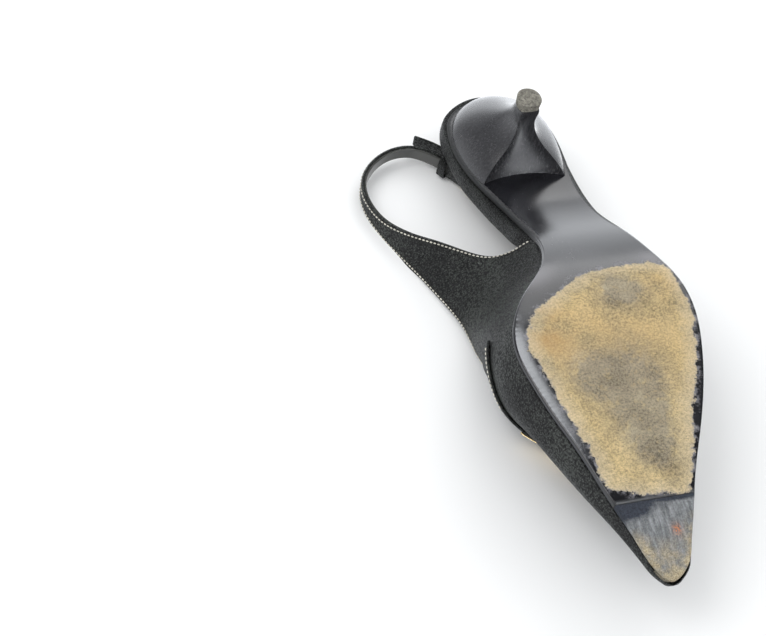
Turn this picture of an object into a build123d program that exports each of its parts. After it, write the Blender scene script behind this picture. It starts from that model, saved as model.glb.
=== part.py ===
"""Slingback pump with a pointed toe and a slim mid-height heel, right foot.

Upright: +Z is up, the toe points to -Y and the inner side of the foot is +X.
The origin is the middle of the heel's ground face.  Millimetres throughout.
"""

import os

from build123d import *

os.makedirs("parts", exist_ok=True)

# ---------------------------------------------------------------- layer heights
# All heights of the bottom stack are measured straight up from the tread line.
OUTSOLE_T = 3.0
MARGIN_TOP = 5.0  # leather and lining turned under the foot end here
BOARD_T = 2.0
SOCK_T = 0.8
PAD_T = 1.3
BAND_T = 1.2
BAND_TOP = 11.4
LEATHER_T = 1.2
LINING_T = 0.8
STRAP_LINING_T = 1.2
PUFF_T = 0.4
FIT = 0.1  # hairline between parts that are glued or pressed together
REACH = 90  # longer than half the width of anything here

# ---------------------------------------------------------------- side view
TREAD_TOE = [(-226, 10.4), (-205, 4.7), (-188, 1.9), (-172, 0.45)]
TREAD_FLAT = (-159, -121)
TREAD_WAIST = [(-104, 0.6), (-90, 2.5), (-76, 6.8), (-62, 13.2), (-49, 20.9)]
TREAD_SEAT = [(-36, 27.2), (-22, 31.2), (0, 34.7), (20, 37.6), (48, 41.8)]
TOPLINE = [(-160, 45), (-104, 45), (-90, 47), (-74, 49.5), (-58, 52), (-44, 54), (-30, 56)]

# ---------------------------------------------------------------- plan view
OUTSOLE_MEDIAL = [
    (11.5, 32), (18.8, 26), (22.4, 16), (23.2, 5), (21.8, -8), (18.6, -20), (15.2, -32),
    (13.6, -44), (13.4, -56), (14.8, -67), (19, -77), (26.5, -86.5), (35.5, -96.5),
    (42, -107.5), (44.8, -120), (43.6, -132), (40.5, -147), (35.6, -165), (30.5, -185),
    (25.5, -200), (22.3, -209.5),
]
OUTSOLE_TIP = (15.8, -217)
OUTSOLE_LATERAL = [
    (8.4, -212.5), (5, -205), (0.6, -194), (-5.2, -180), (-12.6, -165), (-21, -147),
    (-28.4, -126), (-31.6, -109), (-31.1, -96), (-28.2, -83), (-24.8, -66), (-22.3, -50),
    (-21.2, -35), (-21.4, -20), (-22.4, -8), (-23.2, 5), (-22.4, 16), (-18.8, 26),
    (-11.5, 32),
]
SEAT_BACK = (0, 35)
TAP_SEAM = -188

BOARD_MEDIAL = [
    (12, 34.2), (19.2, 27), (22.1, 16), (22.5, 5), (21.6, -8), (19.2, -19), (16.6, -31),
    (15, -42), (14.2, -50), (11.8, -56.5), (11.5, -65), (14.6, -75), (21.5, -84.5), (30, -94),
    (37.5, -105), (41.2, -120), (38.6, -143), (32.4, -167), (25.4, -190), (19.3, -205),
]
BOARD_TIP = (15.4, -208.5)
BOARD_LATERAL = [
    (10.9, -204), (4.4, -191), (-4.2, -172), (-14.6, -152), (-24.8, -128), (-28.2, -110),
    (-27.4, -95), (-24.4, -80), (-21.6, -66), (-20.8, -56), (-22.2, -46), (-22.5, -34),
    (-22.4, -20), (-22.6, -8), (-22.7, 5), (-22.1, 16), (-19.2, 27), (-12, 34.2),
]
BOARD_BACK = (0, 38.4)
# The well is the space inside the margins turned under the foot.
WELL_MEDIAL = [
    (9.5, 20), (14, 6), (11, -12), (6, -30), (4.5, -55), (8, -72), (20, -88), (31, -103),
    (35.5, -120), (33, -138), (27, -162), (20.5, -186),
]
WELL_TIP = (15.2, -197)
WELL_LATERAL = [
    (8.5, -186), (-1, -166), (-12, -145), (-20, -125), (-22.5, -108), (-21, -92), (-16, -70),
    (-13.3, -50), (-12.5, -30), (-14, -5), (-11, 18),
]
WELL_BACK = (0, 25)

# ---------------------------------------------------------------- foot form
# One row per station: distance along the foot, then across/height pairs running
# outer edge, outer bulge, outer shoulder, crown, inner shoulder, bulge, edge.
FORM = [
    (-217.2, (12.4, 10.4), (12, 11.2), (13, 12.4), (15, 12.8), (17, 12.5), (18.4, 11.4), (18.2, 10.4)),
    (-214.4, (8.9, 9.7), (8.6, 11), (10.4, 13.4), (14.6, 14.4), (18, 13.2), (20.9, 10.8), (20.8, 9.7)),
    (-208, (5.9, 8.4), (4.7, 11), (7.6, 15.6), (13.6, 17.4), (18.8, 15.2), (23.6, 10.6), (23.2, 8.4)),
    (-195, (1, 5.9), (-0.9, 10), (3.2, 18), (12.6, 21.4), (21, 17.6), (28.3, 9.8), (27.2, 5.9)),
    (-178, (-6.2, 3.9), (-8.3, 10), (-4, 22.4), (10.5, 27.6), (23.8, 22.4), (34.8, 10), (32.6, 3.9)),
    (-160, (-14.9, 3), (-17.3, 10.6), (-12, 27.3), (8.5, 35), (26.8, 28.2), (40.4, 11.2), (37.2, 3)),
    (-142, (-23, 3), (-25.7, 12), (-20.5, 32.5), (6.5, 43.8), (28.6, 35.4), (45.4, 12.6), (41.8, 3)),
    (-124, (-29.3, 3), (-32.5, 13), (-28.4, 37), (4, 54), (33.4, 44.8), (47.8, 14), (44.2, 3)),
    (-106, (-31.5, 3.5), (-35.2, 14), (-32.2, 40), (3, 64), (37.6, 45.2), (45.8, 16), (41.4, 3.5)),
    (-90, (-30, 5.5), (-34.6, 17), (-32.4, 42), (3, 70), (40.6, 47), (39.6, 22.5), (29.6, 5.5)),
    (-74, (-26.4, 10.7), (-32.3, 22), (-31, 45), (3, 76), (41.4, 49.5), (31.5, 30), (17.2, 10.7)),
    (-58, (-23.4, 18.6), (-29.2, 28.5), (-28.6, 47.5), (3, 80), (45.3, 52), (29.4, 35.6), (13.6, 18.6)),
    (-42, (-21.6, 27.8), (-26.6, 35.6), (-26.2, 50), (4, 84), (50.6, 54.4), (34.6, 36.8), (14.4, 27.8)),
]
TIP_SHARES = [0.35, 0.6]  # the small sections at the very tip shrink by less
SIDE_SEAM = -100
VAMP_BAND_Z = 37.2
VAMP_BAND_REAR = -101
THROAT_BAR = (-152, -133)
THROAT_BAR_Z = 40.4
THROAT_BAR_H = 3.4

# ---------------------------------------------------------------- heel
# height, half width at the front corners, corner, front middle, half width, where it is, back
HEEL = [
    (4, 4.1, -3.6, -3.1, 4.5, 0.4, 5.0),
    (9, 3.8, -3.7, -2.9, 4.4, 1.4, 6.6),
    (14, 4.2, -5.0, -3.4, 5.4, 2.4, 9.8),
    (19, 7.0, -8.2, -5.2, 8.6, 3.0, 14.6),
    (24, 11.6, -11.4, -7.8, 13.4, 3.6, 20.8),
    (29, 16.2, -15.0, -10.8, 18.2, 4.2, 27.0),
    (34, 18.9, -17.4, -13.6, 21.6, 4.6, 31.8),
    (43, 19.8, -18.4, -14.8, 23.2, 5.0, 35.0),
]
COVER_T = 0.8
TOP_PIECE = [(0, 3.4, -4.1, -4.7, 5.1, 0.2, 5.2), (3.9, 3.4, -3.8, -4.2, 4.7, 0.3, 5.1)]
PIN_R = 1.25
PIN_Z = (1.4, 17)
TUBE_R = 2.1
TUBE_Z = (4.4, 30)
CORE_Y = 0.9
SCREW_AT = (0, 13)
SCREW_R = 2.0
NAILS_AT = [(-11.5, 2), (11.5, 2), (-8, 18.5), (8, 18.5)]
NAIL_R = 0.9
RIVETS_AT = [(-1.6, -86), (-2.3, -18)]
RIVET_R = 1.5
SHANK_LINE = [(-1.2, 2), (-3.4, -30), (-4.4, -56), (-1.4, -92)]
SHANK_W = 10
SHANK_T = 1.6
FILLER_REAR = -104
PAD_CENTRE = (0, 11)
PAD_AXES = (17.5, 23)

# ---------------------------------------------------------------- straps
# Each station of a strap: lower edge and upper edge of the leather's outer face.
WING = [
    ((35.4, -45, 36.1), (50.5, -45, 53.3)),
    ((42.6, -36.6, 41.2), (52.4, -38, 55)),
    ((48.6, -30, 44.6), (54.8, -31, 56.2)),
    ((54.2, -23.4, 47.4), (57.4, -23.6, 57.2)),
    ((58.6, -16, 49.8), (59.8, -16, 57.8)),
    ((61.2, -8.6, 51), (61.6, -8.4, 58)),
    ((62.4, 0, 51.4), (62.2, 0.4, 58)),
    ((60.8, 8.2, 51.4), (60, 8.8, 58)),
    ((55.6, 15.6, 51.4), (54.6, 16.6, 58)),
    ((48, 21, 51.4), (47.2, 22.2, 58)),
    ((40, 23.4, 51.4), (39.6, 24.4, 58)),
    ((33, 22.8, 51.4), (32.8, 23.6, 58)),
    ((26.4, 18.8, 51.2), (26.2, 19.4, 57.8)),
    ((21.4, 13.6, 51), (21, 14, 57.6)),
    ((18.05, 8.95, 50.75), (18.05, 8.95, 57.25)),
]
BILLET_ROOT = [
    ((-2, -18.4, 49.2), (-2, -18.6, 54.4)),
    ((-13, -28.2, 47), (-13, -28.4, 52.8)),
    ((-21, -36.6, 44.8), (-21, -36.8, 52)),
    ((-25.6, -44, 42), (-25.4, -44, 52)),
    ((-27.6, -50.5, 39.6), (-27.4, -50.5, 52)),
]
SWING_MEDIAL = (56.4, -25, 52.6)
SWING_LATERAL = (-21.4, -37.6, 48.4)
SWING_R = 5.6
SWING_R_LATERAL = 4.4
SWING_GAP = 0.4

# Buckle: its own plane, x along the strap towards the outer side, y up, z outwards.
BUCKLE_AT = (15.0, 4.0, 54)
BUCKLE = Plane(origin=BUCKLE_AT, x_dir=(-0.52, -0.854, -0.05), z_dir=(-0.854, 0.52, 0))
FRAME_L = 12.6
FRAME_W = 10.8
WIRE = 1.5
FOLD_R = 2.3
FOLD_HOLE_R = 1.25
FOLD_L = 6.0
STRAP_W = 6.5
BILLET_W = 5.0
BILLET_T = 1.3
BILLET_LINE = [
    (-29.5, 0.4), (-23.5, 2.9), (-17, 4.5), (-10, 4.8), (-3, 4.3), (1.6, 3.9), (4.8, 2.2),
    (9.2, -0.9), (11.8, -1.5), (15, -1.3),
]
PRONG_W = 1.2
PRONG_SLOT_L = 6.4
PRONG_SLOT_U = 4.3
KEEPER_OUT = [(-12.4, -5.1), (-8.4, -4.3), (-8.4, 6.2), (-12.4, 6.2)]
KEEPER_IN = [(-12.5, -4.2), (-8.3, -3.4), (-8.3, 5.3), (-12.5, 5.3)]


# ---------------------------------------------------------------- helpers
def tread_line(dz):
    """Edges of the tread line in side view, lifted by dz, toe to heel."""
    front, rear = TREAD_FLAT
    toe = Spline(*[(y, z + dz) for y, z in TREAD_TOE], (front, dz), tangents=[(1, -0.3), (1, 0)])
    flat = Line((front, dz), (rear, dz))
    back = [(y, z + dz) for y, z in TREAD_WAIST + TREAD_SEAT]
    waist = Spline((rear, dz), *back, tangents=[(1, 0), (1, 0.15)])
    return [toe, flat, waist]


def layer(low, high):
    """Side view of a layer between two heights above the tread line."""
    with BuildSketch(Plane.YZ) as view:
        with BuildLine():
            lower = tread_line(low)
            upper = tread_line(high)
            Line(lower[0] @ 0, upper[0] @ 0)
            Line(lower[2] @ 1, upper[2] @ 1)
        make_face()
    return view.sketch


def outline(back, medial, tip, lateral):
    """Closed plan view through the given points."""
    with BuildSketch(Plane.XY.offset(-10)) as plan:
        with BuildLine():
            Spline(back, *medial, tip, *lateral, periodic=True)
        make_face()
    return plan.sketch


def grown(plan, amount, steps=90):
    """The plan view made larger all round by the amount, or smaller below zero."""
    edge = plan.edges()[0]
    rim = []
    for i in range(steps):
        ahead = edge % (i / steps)
        rim.append(edge @ (i / steps) + Vector(ahead.Y, -ahead.X) * amount)
    with BuildSketch(Plane.XY.offset(-10)) as bigger:
        with BuildLine():
            Spline(*[(p.X, p.Y) for p in rim], periodic=True)
        make_face()
    return bigger.sketch


def form_face(row, inset):
    """Cross-section of the foot form, moved inwards by the inset."""
    lean = [(1, 1), (1, 0), (0.7, -0.7), (0, -1), (-0.7, -0.7), (-1, 0), (-1, 1)]
    place = FORM.index(row)
    step = inset * (TIP_SHARES[place] if place < len(TIP_SHARES) else 1)
    points = [(x + a * step, z + b * step) for (x, z), (a, b) in zip(row[1:], lean)]
    toe_shift = inset if row[0] < -200 else 0
    plane = Plane(origin=(0, row[0] + toe_shift, 0), x_dir=(1, 0, 0), z_dir=(0, -1, 0))
    with BuildSketch(plane) as section:
        with BuildLine():
            Spline(*points)
            Line(points[-1], points[0])
        make_face()
    return section.sketch


def foot_form(inset):
    """Solid foot form, smaller all round by the inset."""
    with BuildPart() as form:
        loft([form_face(row, inset) for row in FORM])
    return form.part


def below_topline():
    """Side view of everything under the top edge of the upper."""
    with BuildSketch(Plane.YZ) as view:
        with BuildLine():
            Polyline((-30, 56), (-30, -5), (-230, -5), (-230, 45), (-160, 45))
            Spline(*TOPLINE)
        make_face()
    return view.sketch


def heel_face(row, inset):
    """Level section of the heel: round back, hollow front."""
    z, w_front, y_front, y_mid, w, y_wide, y_back = row
    w_front, w, y_back = w_front - inset, w - inset, y_back - inset
    y_front, y_mid = y_front + inset, y_mid + inset
    y_round = y_wide + 0.72 * (y_back - y_wide)
    with BuildSketch(Plane.XY.offset(z)) as section:
        with BuildLine():
            Spline(
                (w_front, y_front), (w, y_wide), (0.70 * w, y_round), (0, y_back),
                (-0.70 * w, y_round), (-w, y_wide), (-w_front, y_front),
            )
            ThreePointArc((-w_front, y_front), (0, y_mid), (w_front, y_front))
        make_face()
    return section.sketch


def heel_solid(inset):
    """Heel body up to the underside of the outsole."""
    with BuildPart() as body:
        loft([heel_face(row, inset) for row in HEEL])
        extrude(layer(-60, -FIT), amount=REACH, both=True, mode=Mode.INTERSECT)
    return body.part


def strap_face(lower, upper, thickness, ahead, inset=0.0):
    """Cross-section of a strap, its outer face on the line lower to upper."""
    low, high = Vector(lower), Vector(upper)
    across = (high - low).normalized()
    along = Vector(ahead).normalized()
    out = along.cross(across).normalized()
    middle = (low + high) * 0.5 - out * (thickness / 2 + inset)
    plane = Plane(origin=middle, x_dir=across, z_dir=out.cross(across) * -1)
    with BuildSketch(plane) as section:
        Rectangle((high - low).length, thickness)
    return section.sketch


def strap(stations, thickness, inset=0.0):
    """Strap lofted through its stations."""
    middles = [(Vector(a) + Vector(b)) * 0.5 for a, b in stations]
    faces = []
    for i, (low, high) in enumerate(stations):
        ahead = middles[min(i + 1, len(middles) - 1)] - middles[max(i - 1, 0)]
        faces.append(strap_face(low, high, thickness, ahead, inset))
    return loft(faces, mode=Mode.PRIVATE)


def buckle_point(u, n, v=0.0):
    """Point given along the strap, outwards and up, on the buckle's plane."""
    return BUCKLE.from_local_coords((u, v, n))


def disc(centre, radius):
    """Round block on the swing axis, for the rounded ends of the sling."""
    axis = (Vector(SWING_MEDIAL) - Vector(SWING_LATERAL)).normalized()
    return Plane(origin=centre, z_dir=axis) * Cylinder(radius, 16, mode=Mode.PRIVATE)


def beyond(centre, ahead):
    """Big block that starts at the point and fills the space ahead of it."""
    place = Plane(origin=centre, z_dir=ahead)
    middle_to_front = (Align.CENTER, Align.CENTER, Align.MIN)
    return place * Box(200, 200, 200, align=middle_to_front, mode=Mode.PRIVATE)


def pins(places, radius, low, high):
    """Upright round pins between two heights above the tread line."""
    with BuildPart() as group:
        with BuildSketch(Plane.XY.offset(-10)):
            with Locations(*places):
                Circle(radius)
        extrude(amount=80)
        extrude(layer(low, high), amount=REACH, both=True, mode=Mode.INTERSECT)
    return group.part


def save(piece, name):
    """Label a finished piece and write its STEP file."""
    piece.part.label = name
    export_step(piece.part, "parts/" + name + ".step")


# ---------------------------------------------------------------- shared shapes
outsole_plan = outline(SEAT_BACK, OUTSOLE_MEDIAL, OUTSOLE_TIP, OUTSOLE_LATERAL)
board_plan = outline(BOARD_BACK, BOARD_MEDIAL, BOARD_TIP, BOARD_LATERAL)
well_plan = outline(WELL_BACK, WELL_MEDIAL, WELL_TIP, WELL_LATERAL)
form_out = foot_form(0)
form_mid = foot_form(LEATHER_T)
form_in = foot_form(LEATHER_T + LINING_T)
wing_leather = strap(WING, LEATHER_T)
wing_lining = strap(WING, STRAP_LINING_T, LEATHER_T)
swing_forward = Vector(WING[4][0]) - Vector(WING[2][0])
past_medial = beyond(SWING_MEDIAL, swing_forward)
past_lateral = beyond(SWING_LATERAL, (0.76, 0.64, 0.1))
tail_line = [
    (buckle_point(u, n, -BILLET_W / 2), buckle_point(u, n, BILLET_W / 2)) for u, n in BILLET_LINE
]
billet_leather = strap(tail_line + BILLET_ROOT, BILLET_T)
seat_nails = pins(NAILS_AT, NAIL_R, -8, PAD_T) + pins(NAILS_AT, 2 * NAIL_R, 5.0, 5.6)
seat_screw = pins([SCREW_AT], SCREW_R, -14, 5.2) + pins([SCREW_AT], 2 * SCREW_R, 4.4, 5.6)
rivets = pins(RIVETS_AT, RIVET_R, OUTSOLE_T + FIT, MARGIN_TOP + BOARD_T)

# ---------------------------------------------------------------- sole
with BuildPart() as outsole:
    extrude(outsole_plan, amount=80)
    extrude(layer(0, OUTSOLE_T), amount=REACH, both=True, mode=Mode.INTERSECT)
    with Locations((0, TAP_SEAM, 0)):
        Box(100, 60, 60, align=(Align.CENTER, Align.MAX, Align.CENTER), mode=Mode.SUBTRACT)
    add(seat_nails, mode=Mode.SUBTRACT)
    add(seat_screw, mode=Mode.SUBTRACT)
save(outsole, "outsole")

with BuildPart() as toe_tap:
    extrude(outsole_plan, amount=80)
    extrude(layer(0, OUTSOLE_T), amount=REACH, both=True, mode=Mode.INTERSECT)
    with Locations((0, TAP_SEAM - 2 * FIT, 0)):
        Box(100, 300, 160, align=(Align.CENTER, Align.MIN, Align.CENTER), mode=Mode.SUBTRACT)
save(toe_tap, "toe_tap")

with BuildPart() as bottom_filler:
    extrude(grown(well_plan, -4 * FIT), amount=80)
    extrude(layer(OUTSOLE_T, MARGIN_TOP - FIT), amount=REACH, both=True, mode=Mode.INTERSECT)
    with Locations((0, FILLER_REAR, 0)):
        Box(100, 200, 160, align=(Align.CENTER, Align.MIN, Align.CENTER), mode=Mode.SUBTRACT)
save(bottom_filler, "bottom_filler")

with BuildPart() as shank:
    with BuildSketch(Plane.XY.offset(-10)):
        with BuildLine():
            Spline(*SHANK_LINE)
        trace(line_width=SHANK_W)
    extrude(amount=80)
    extrude(
        layer(OUTSOLE_T + FIT, OUTSOLE_T + FIT + SHANK_T),
        amount=REACH, both=True, mode=Mode.INTERSECT,
    )
    add(rivets, mode=Mode.SUBTRACT)
save(shank, "shank")

with BuildPart() as shank_rivets:
    add(rivets)
save(shank_rivets, "shank_rivets")

with BuildPart() as sock_pad:
    with BuildSketch(Plane.XY.offset(-10)):
        with Locations(PAD_CENTRE):
            Ellipse(*PAD_AXES)
    extrude(amount=80)
    extrude(
        layer(MARGIN_TOP + BOARD_T - PAD_T, MARGIN_TOP + BOARD_T),
        amount=REACH, both=True, mode=Mode.INTERSECT,
    )
save(sock_pad, "sock_pad")

with BuildPart() as insole_board:
    extrude(board_plan, amount=80)
    extrude(
        layer(MARGIN_TOP, MARGIN_TOP + BOARD_T), amount=REACH, both=True, mode=Mode.INTERSECT
    )
    add(sock_pad.part, mode=Mode.SUBTRACT)
    add(rivets, mode=Mode.SUBTRACT)
    add(seat_nails, mode=Mode.SUBTRACT)
    add(seat_screw, mode=Mode.SUBTRACT)
save(insole_board, "insole_board")

with BuildPart() as sock_lining:
    extrude(grown(board_plan, -8 * FIT), amount=80)
    extrude(
        layer(MARGIN_TOP + BOARD_T, MARGIN_TOP + BOARD_T + SOCK_T),
        amount=REACH, both=True, mode=Mode.INTERSECT,
    )
save(sock_lining, "sock_lining")

with BuildPart() as seat_band:
    extrude(grown(board_plan, BAND_T), amount=80)
    extrude(board_plan, amount=80, mode=Mode.SUBTRACT)
    extrude(layer(OUTSOLE_T + FIT, BAND_TOP), amount=REACH, both=True, mode=Mode.INTERSECT)
    with Locations((0, -50, 0)):
        Box(120, 300, 160, align=(Align.CENTER, Align.MAX, Align.CENTER), mode=Mode.SUBTRACT)
save(seat_band, "seat_band")

# ---------------------------------------------------------------- upper
with BuildPart() as toe_puff:
    add(form_mid)
    add(foot_form(LEATHER_T + PUFF_T), mode=Mode.SUBTRACT)
    with Locations((0, -193, 10)):
        Box(100, 60, 60, align=(Align.CENTER, Align.MAX, Align.MIN), mode=Mode.INTERSECT)
save(toe_puff, "toe_puff")

with BuildPart() as vamp:
    add(form_out)
    add(form_mid, mode=Mode.SUBTRACT)
    extrude(below_topline(), amount=REACH, both=True, mode=Mode.INTERSECT)
    extrude(layer(OUTSOLE_T, 90), amount=REACH, both=True, mode=Mode.INTERSECT)
    extrude(well_plan, amount=18, mode=Mode.SUBTRACT)
    with Locations((0, SIDE_SEAM - FIT, 0)):
        Box(140, 150, 160, align=(Align.CENTER, Align.MAX, Align.CENTER), mode=Mode.INTERSECT)
save(vamp, "vamp")

with BuildPart() as vamp_lining:
    add(form_mid)
    add(form_in, mode=Mode.SUBTRACT)
    add(toe_puff.part, mode=Mode.SUBTRACT)
    extrude(below_topline(), amount=REACH, both=True, mode=Mode.INTERSECT)
    extrude(layer(OUTSOLE_T, 90), amount=REACH, both=True, mode=Mode.INTERSECT)
    extrude(well_plan, amount=18, mode=Mode.SUBTRACT)
    add(insole_board.part, mode=Mode.SUBTRACT)
    with Locations((0, SIDE_SEAM - FIT, 0)):
        Box(140, 150, 160, align=(Align.CENTER, Align.MAX, Align.CENTER), mode=Mode.INTERSECT)
save(vamp_lining, "vamp_lining")

REAR_EDGE = [(0, -56.6), (14, -56.6), (23.2, -54.4), (29.6, -49.9), (36, -43.6)]
medial_leather = None
for sheet, wing, name in (
    (form_out - form_mid, wing_leather, "medial_quarter"),
    (form_mid - form_in, wing_lining, "medial_quarter_lining"),
):
    with BuildPart() as quarter:
        add(sheet)
        extrude(below_topline(), amount=REACH, both=True, mode=Mode.INTERSECT)
        extrude(layer(OUTSOLE_T, 90), amount=REACH, both=True, mode=Mode.INTERSECT)
        extrude(well_plan, amount=60, mode=Mode.SUBTRACT)
        with BuildSketch(Plane.XY.offset(-10)):
            with BuildLine():
                Polyline(*REAR_EDGE, (70, -43.6), (70, SIDE_SEAM), (0, SIDE_SEAM), (0, -56.6))
            make_face()
        extrude(amount=120, mode=Mode.INTERSECT)
        add(wing - past_medial - disc(SWING_MEDIAL, SWING_R + SWING_GAP))
        add(insole_board.part, mode=Mode.SUBTRACT)
        add(seat_band.part, mode=Mode.SUBTRACT)
        if medial_leather is not None:
            add(medial_leather, mode=Mode.SUBTRACT)
    medial_leather = quarter.part
    save(quarter, name)

lateral_leather = None
billet_root = billet_leather - past_lateral - disc(SWING_LATERAL, SWING_R_LATERAL + SWING_GAP)
for sheet, root, name in (
    (form_out - form_mid, billet_root, "lateral_quarter"),
    (form_mid - form_in, None, "lateral_quarter_lining"),
):
    with BuildPart() as quarter:
        add(sheet)
        extrude(below_topline(), amount=REACH, both=True, mode=Mode.INTERSECT)
        extrude(layer(OUTSOLE_T, 90), amount=REACH, both=True, mode=Mode.INTERSECT)
        extrude(well_plan, amount=60, mode=Mode.SUBTRACT)
        with BuildSketch(Plane.YZ):
            with BuildLine():
                Polyline(
                    (SIDE_SEAM, -5), (-53.5, -5), (-53.5, 17), (-45, 42), (-46, 51.5),
                    (SIDE_SEAM, 44), (SIDE_SEAM, -5),
                )
            make_face()
        extrude(amount=-REACH, mode=Mode.INTERSECT)
        if root is not None:
            add(root)
        if lateral_leather is not None:
            add(lateral_leather, mode=Mode.SUBTRACT)
        add(insole_board.part, mode=Mode.SUBTRACT)
        add(seat_band.part, mode=Mode.SUBTRACT)
    lateral_leather = quarter.part
    save(quarter, name)

with BuildPart() as vamp_band:
    add(foot_form(-FIT - LEATHER_T))
    add(foot_form(-FIT), mode=Mode.SUBTRACT)
    extrude(below_topline(), amount=REACH, both=True, mode=Mode.INTERSECT)
    with Locations((0, VAMP_BAND_REAR, VAMP_BAND_Z)):
        Box(140, 150, 60, align=(Align.CENTER, Align.MAX, Align.MIN), mode=Mode.INTERSECT)
save(vamp_band, "vamp_band")

with BuildPart() as throat_bar:
    add(foot_form(-2 * FIT - 2 * LEATHER_T))
    add(foot_form(-2 * FIT - LEATHER_T), mode=Mode.SUBTRACT)
    with Locations((0, THROAT_BAR[0], THROAT_BAR_Z)):
        Box(
            140, THROAT_BAR[1] - THROAT_BAR[0], THROAT_BAR_H,
            align=(Align.CENTER, Align.MIN, Align.MIN), mode=Mode.INTERSECT,
        )
save(throat_bar, "throat_bar")

# ---------------------------------------------------------------- heel
with BuildPart() as breast_zone:
    for z, w_front, y_front, y_mid, w, y_wide, y_back in HEEL:
        with BuildSketch(Plane.XY.offset(z)):
            with Locations((0, y_front - 4)):
                Rectangle(
                    2 * (w_front - 1.0), y_mid - y_front + 5.2, align=(Align.CENTER, Align.MIN)
                )
    loft()

heel_outside = heel_solid(0)
heel_inside = heel_solid(COVER_T)
with BuildPart() as heel_cover:
    add(heel_outside)
    add(heel_inside, mode=Mode.SUBTRACT)
    add(breast_zone.part, mode=Mode.SUBTRACT)
save(heel_cover, "heel_cover")

with BuildPart() as heel_breast_cover:
    add(heel_outside)
    add(heel_inside, mode=Mode.SUBTRACT)
    add(breast_zone.part, mode=Mode.INTERSECT)
save(heel_breast_cover, "heel_breast_cover")

with BuildPart() as heel_tube:
    with BuildSketch(Plane.XY.offset(TUBE_Z[0])):
        with Locations((0, CORE_Y)):
            Circle(TUBE_R)
            Circle(PIN_R + FIT / 2, mode=Mode.SUBTRACT)
    extrude(amount=TUBE_Z[1] - TUBE_Z[0])
save(heel_tube, "heel_tube")

with BuildPart() as top_piece_pin:
    with BuildSketch(Plane.XY.offset(PIN_Z[0])):
        with Locations((0, CORE_Y)):
            Circle(PIN_R)
    extrude(amount=PIN_Z[1] - PIN_Z[0])
save(top_piece_pin, "top_piece_pin")

with BuildPart() as heel_block:
    add(heel_solid(COVER_T + 2 * FIT))
    with BuildSketch(Plane.XY):
        with Locations((0, CORE_Y)):
            Circle(TUBE_R)
    extrude(amount=TUBE_Z[1], mode=Mode.SUBTRACT)
    add(seat_nails, mode=Mode.SUBTRACT)
    add(seat_screw, mode=Mode.SUBTRACT)
save(heel_block, "heel_block")

with BuildPart() as heel_top_piece:
    loft([heel_face(row, 0) for row in TOP_PIECE])
    add(top_piece_pin.part, mode=Mode.SUBTRACT)
save(heel_top_piece, "heel_top_piece")

with BuildPart() as heel_screw:
    add(seat_screw)
save(heel_screw, "heel_screw")

with BuildPart() as heel_nails:
    add(seat_nails)
save(heel_nails, "heel_nails")

# ---------------------------------------------------------------- sling and buckle
sling_keep = past_medial + disc(SWING_MEDIAL, SWING_R)
billet_keep = past_lateral + disc(SWING_LATERAL, SWING_R_LATERAL)
flat_side = Plane(origin=BUCKLE_AT, x_dir=BUCKLE.x_dir, z_dir=BUCKLE.x_dir.cross(BUCKLE.z_dir))

with BuildPart() as sling_strap:
    add(wing_leather & sling_keep)
    with BuildSketch(flat_side.offset(-STRAP_W / 2)):
        Circle(FOLD_R)
        with BuildLine():
            Polyline((0, FOLD_R), (-FOLD_L, 1.1), (-FOLD_L, -0.9), (0, -FOLD_R), (0, FOLD_R))
        make_face()
        Circle(FOLD_HOLE_R, mode=Mode.SUBTRACT)
    extrude(amount=STRAP_W)
    with BuildSketch(flat_side.offset(-PRONG_W)):
        with Locations((1.2, 0)):
            Rectangle(6.6, 8)
    extrude(amount=2 * PRONG_W, mode=Mode.SUBTRACT)
save(sling_strap, "sling_strap")

with BuildPart() as sling_strap_lining:
    add(wing_lining & sling_keep)
    add(sling_strap.part, mode=Mode.SUBTRACT)
    add(disc(BUCKLE_AT, 1), mode=Mode.SUBTRACT)
save(sling_strap_lining, "sling_strap_lining")

with BuildPart() as billet_strap:
    add(billet_leather & billet_keep)
    with BuildSketch(BUCKLE.offset(-6)):
        with Locations((PRONG_SLOT_U, 0)):
            SlotOverall(PRONG_SLOT_L, 2 * PRONG_W)
        with Locations((-7, 0), (-13, 0), (-19, 0), (-25, 0)):
            Circle(0.8)
    extrude(amount=16, mode=Mode.SUBTRACT)
save(billet_strap, "billet_strap")

with BuildPart() as buckle_frame:
    with BuildSketch(BUCKLE.offset(-WIRE / 2)):
        with Locations(((FRAME_L - WIRE) / 2, 0)):
            RectangleRounded(FRAME_L, FRAME_W, 2)
            RectangleRounded(FRAME_L - 2 * WIRE, FRAME_W - 2 * WIRE, 0.9, mode=Mode.SUBTRACT)
    extrude(amount=WIRE)
    fillet(buckle_frame.edges().filter_by(GeomType.LINE, reverse=True), 0.3)
save(buckle_frame, "buckle_frame")

with BuildPart() as buckle_prong:
    with BuildSketch(flat_side.offset(-PRONG_W / 2)):
        with BuildLine():
            Polyline(
                (0, 1.05), (6, 1.25), (FRAME_L - 0.2, 1.15), (FRAME_L - 0.2, 2.0), (6, 2.3),
                (0, 1.75), (0, 1.05),
            )
        make_face()
        Circle(1.75)
        Circle(1.06, mode=Mode.SUBTRACT)
    extrude(amount=PRONG_W)
save(buckle_prong, "buckle_prong")

with BuildPart() as keeper_loop:
    with BuildSketch(flat_side.offset(-STRAP_W / 2 - 1.4)):
        with BuildLine():
            Polyline(*KEEPER_OUT, KEEPER_OUT[0])
        make_face()
    extrude(amount=STRAP_W + 2.8)
    with BuildSketch(flat_side.offset(-STRAP_W / 2 - 0.5)):
        with BuildLine():
            Polyline(*KEEPER_IN, KEEPER_IN[0])
        make_face()
    extrude(amount=STRAP_W + 1.0, mode=Mode.SUBTRACT)
save(keeper_loop, "keeper_loop")
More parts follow.
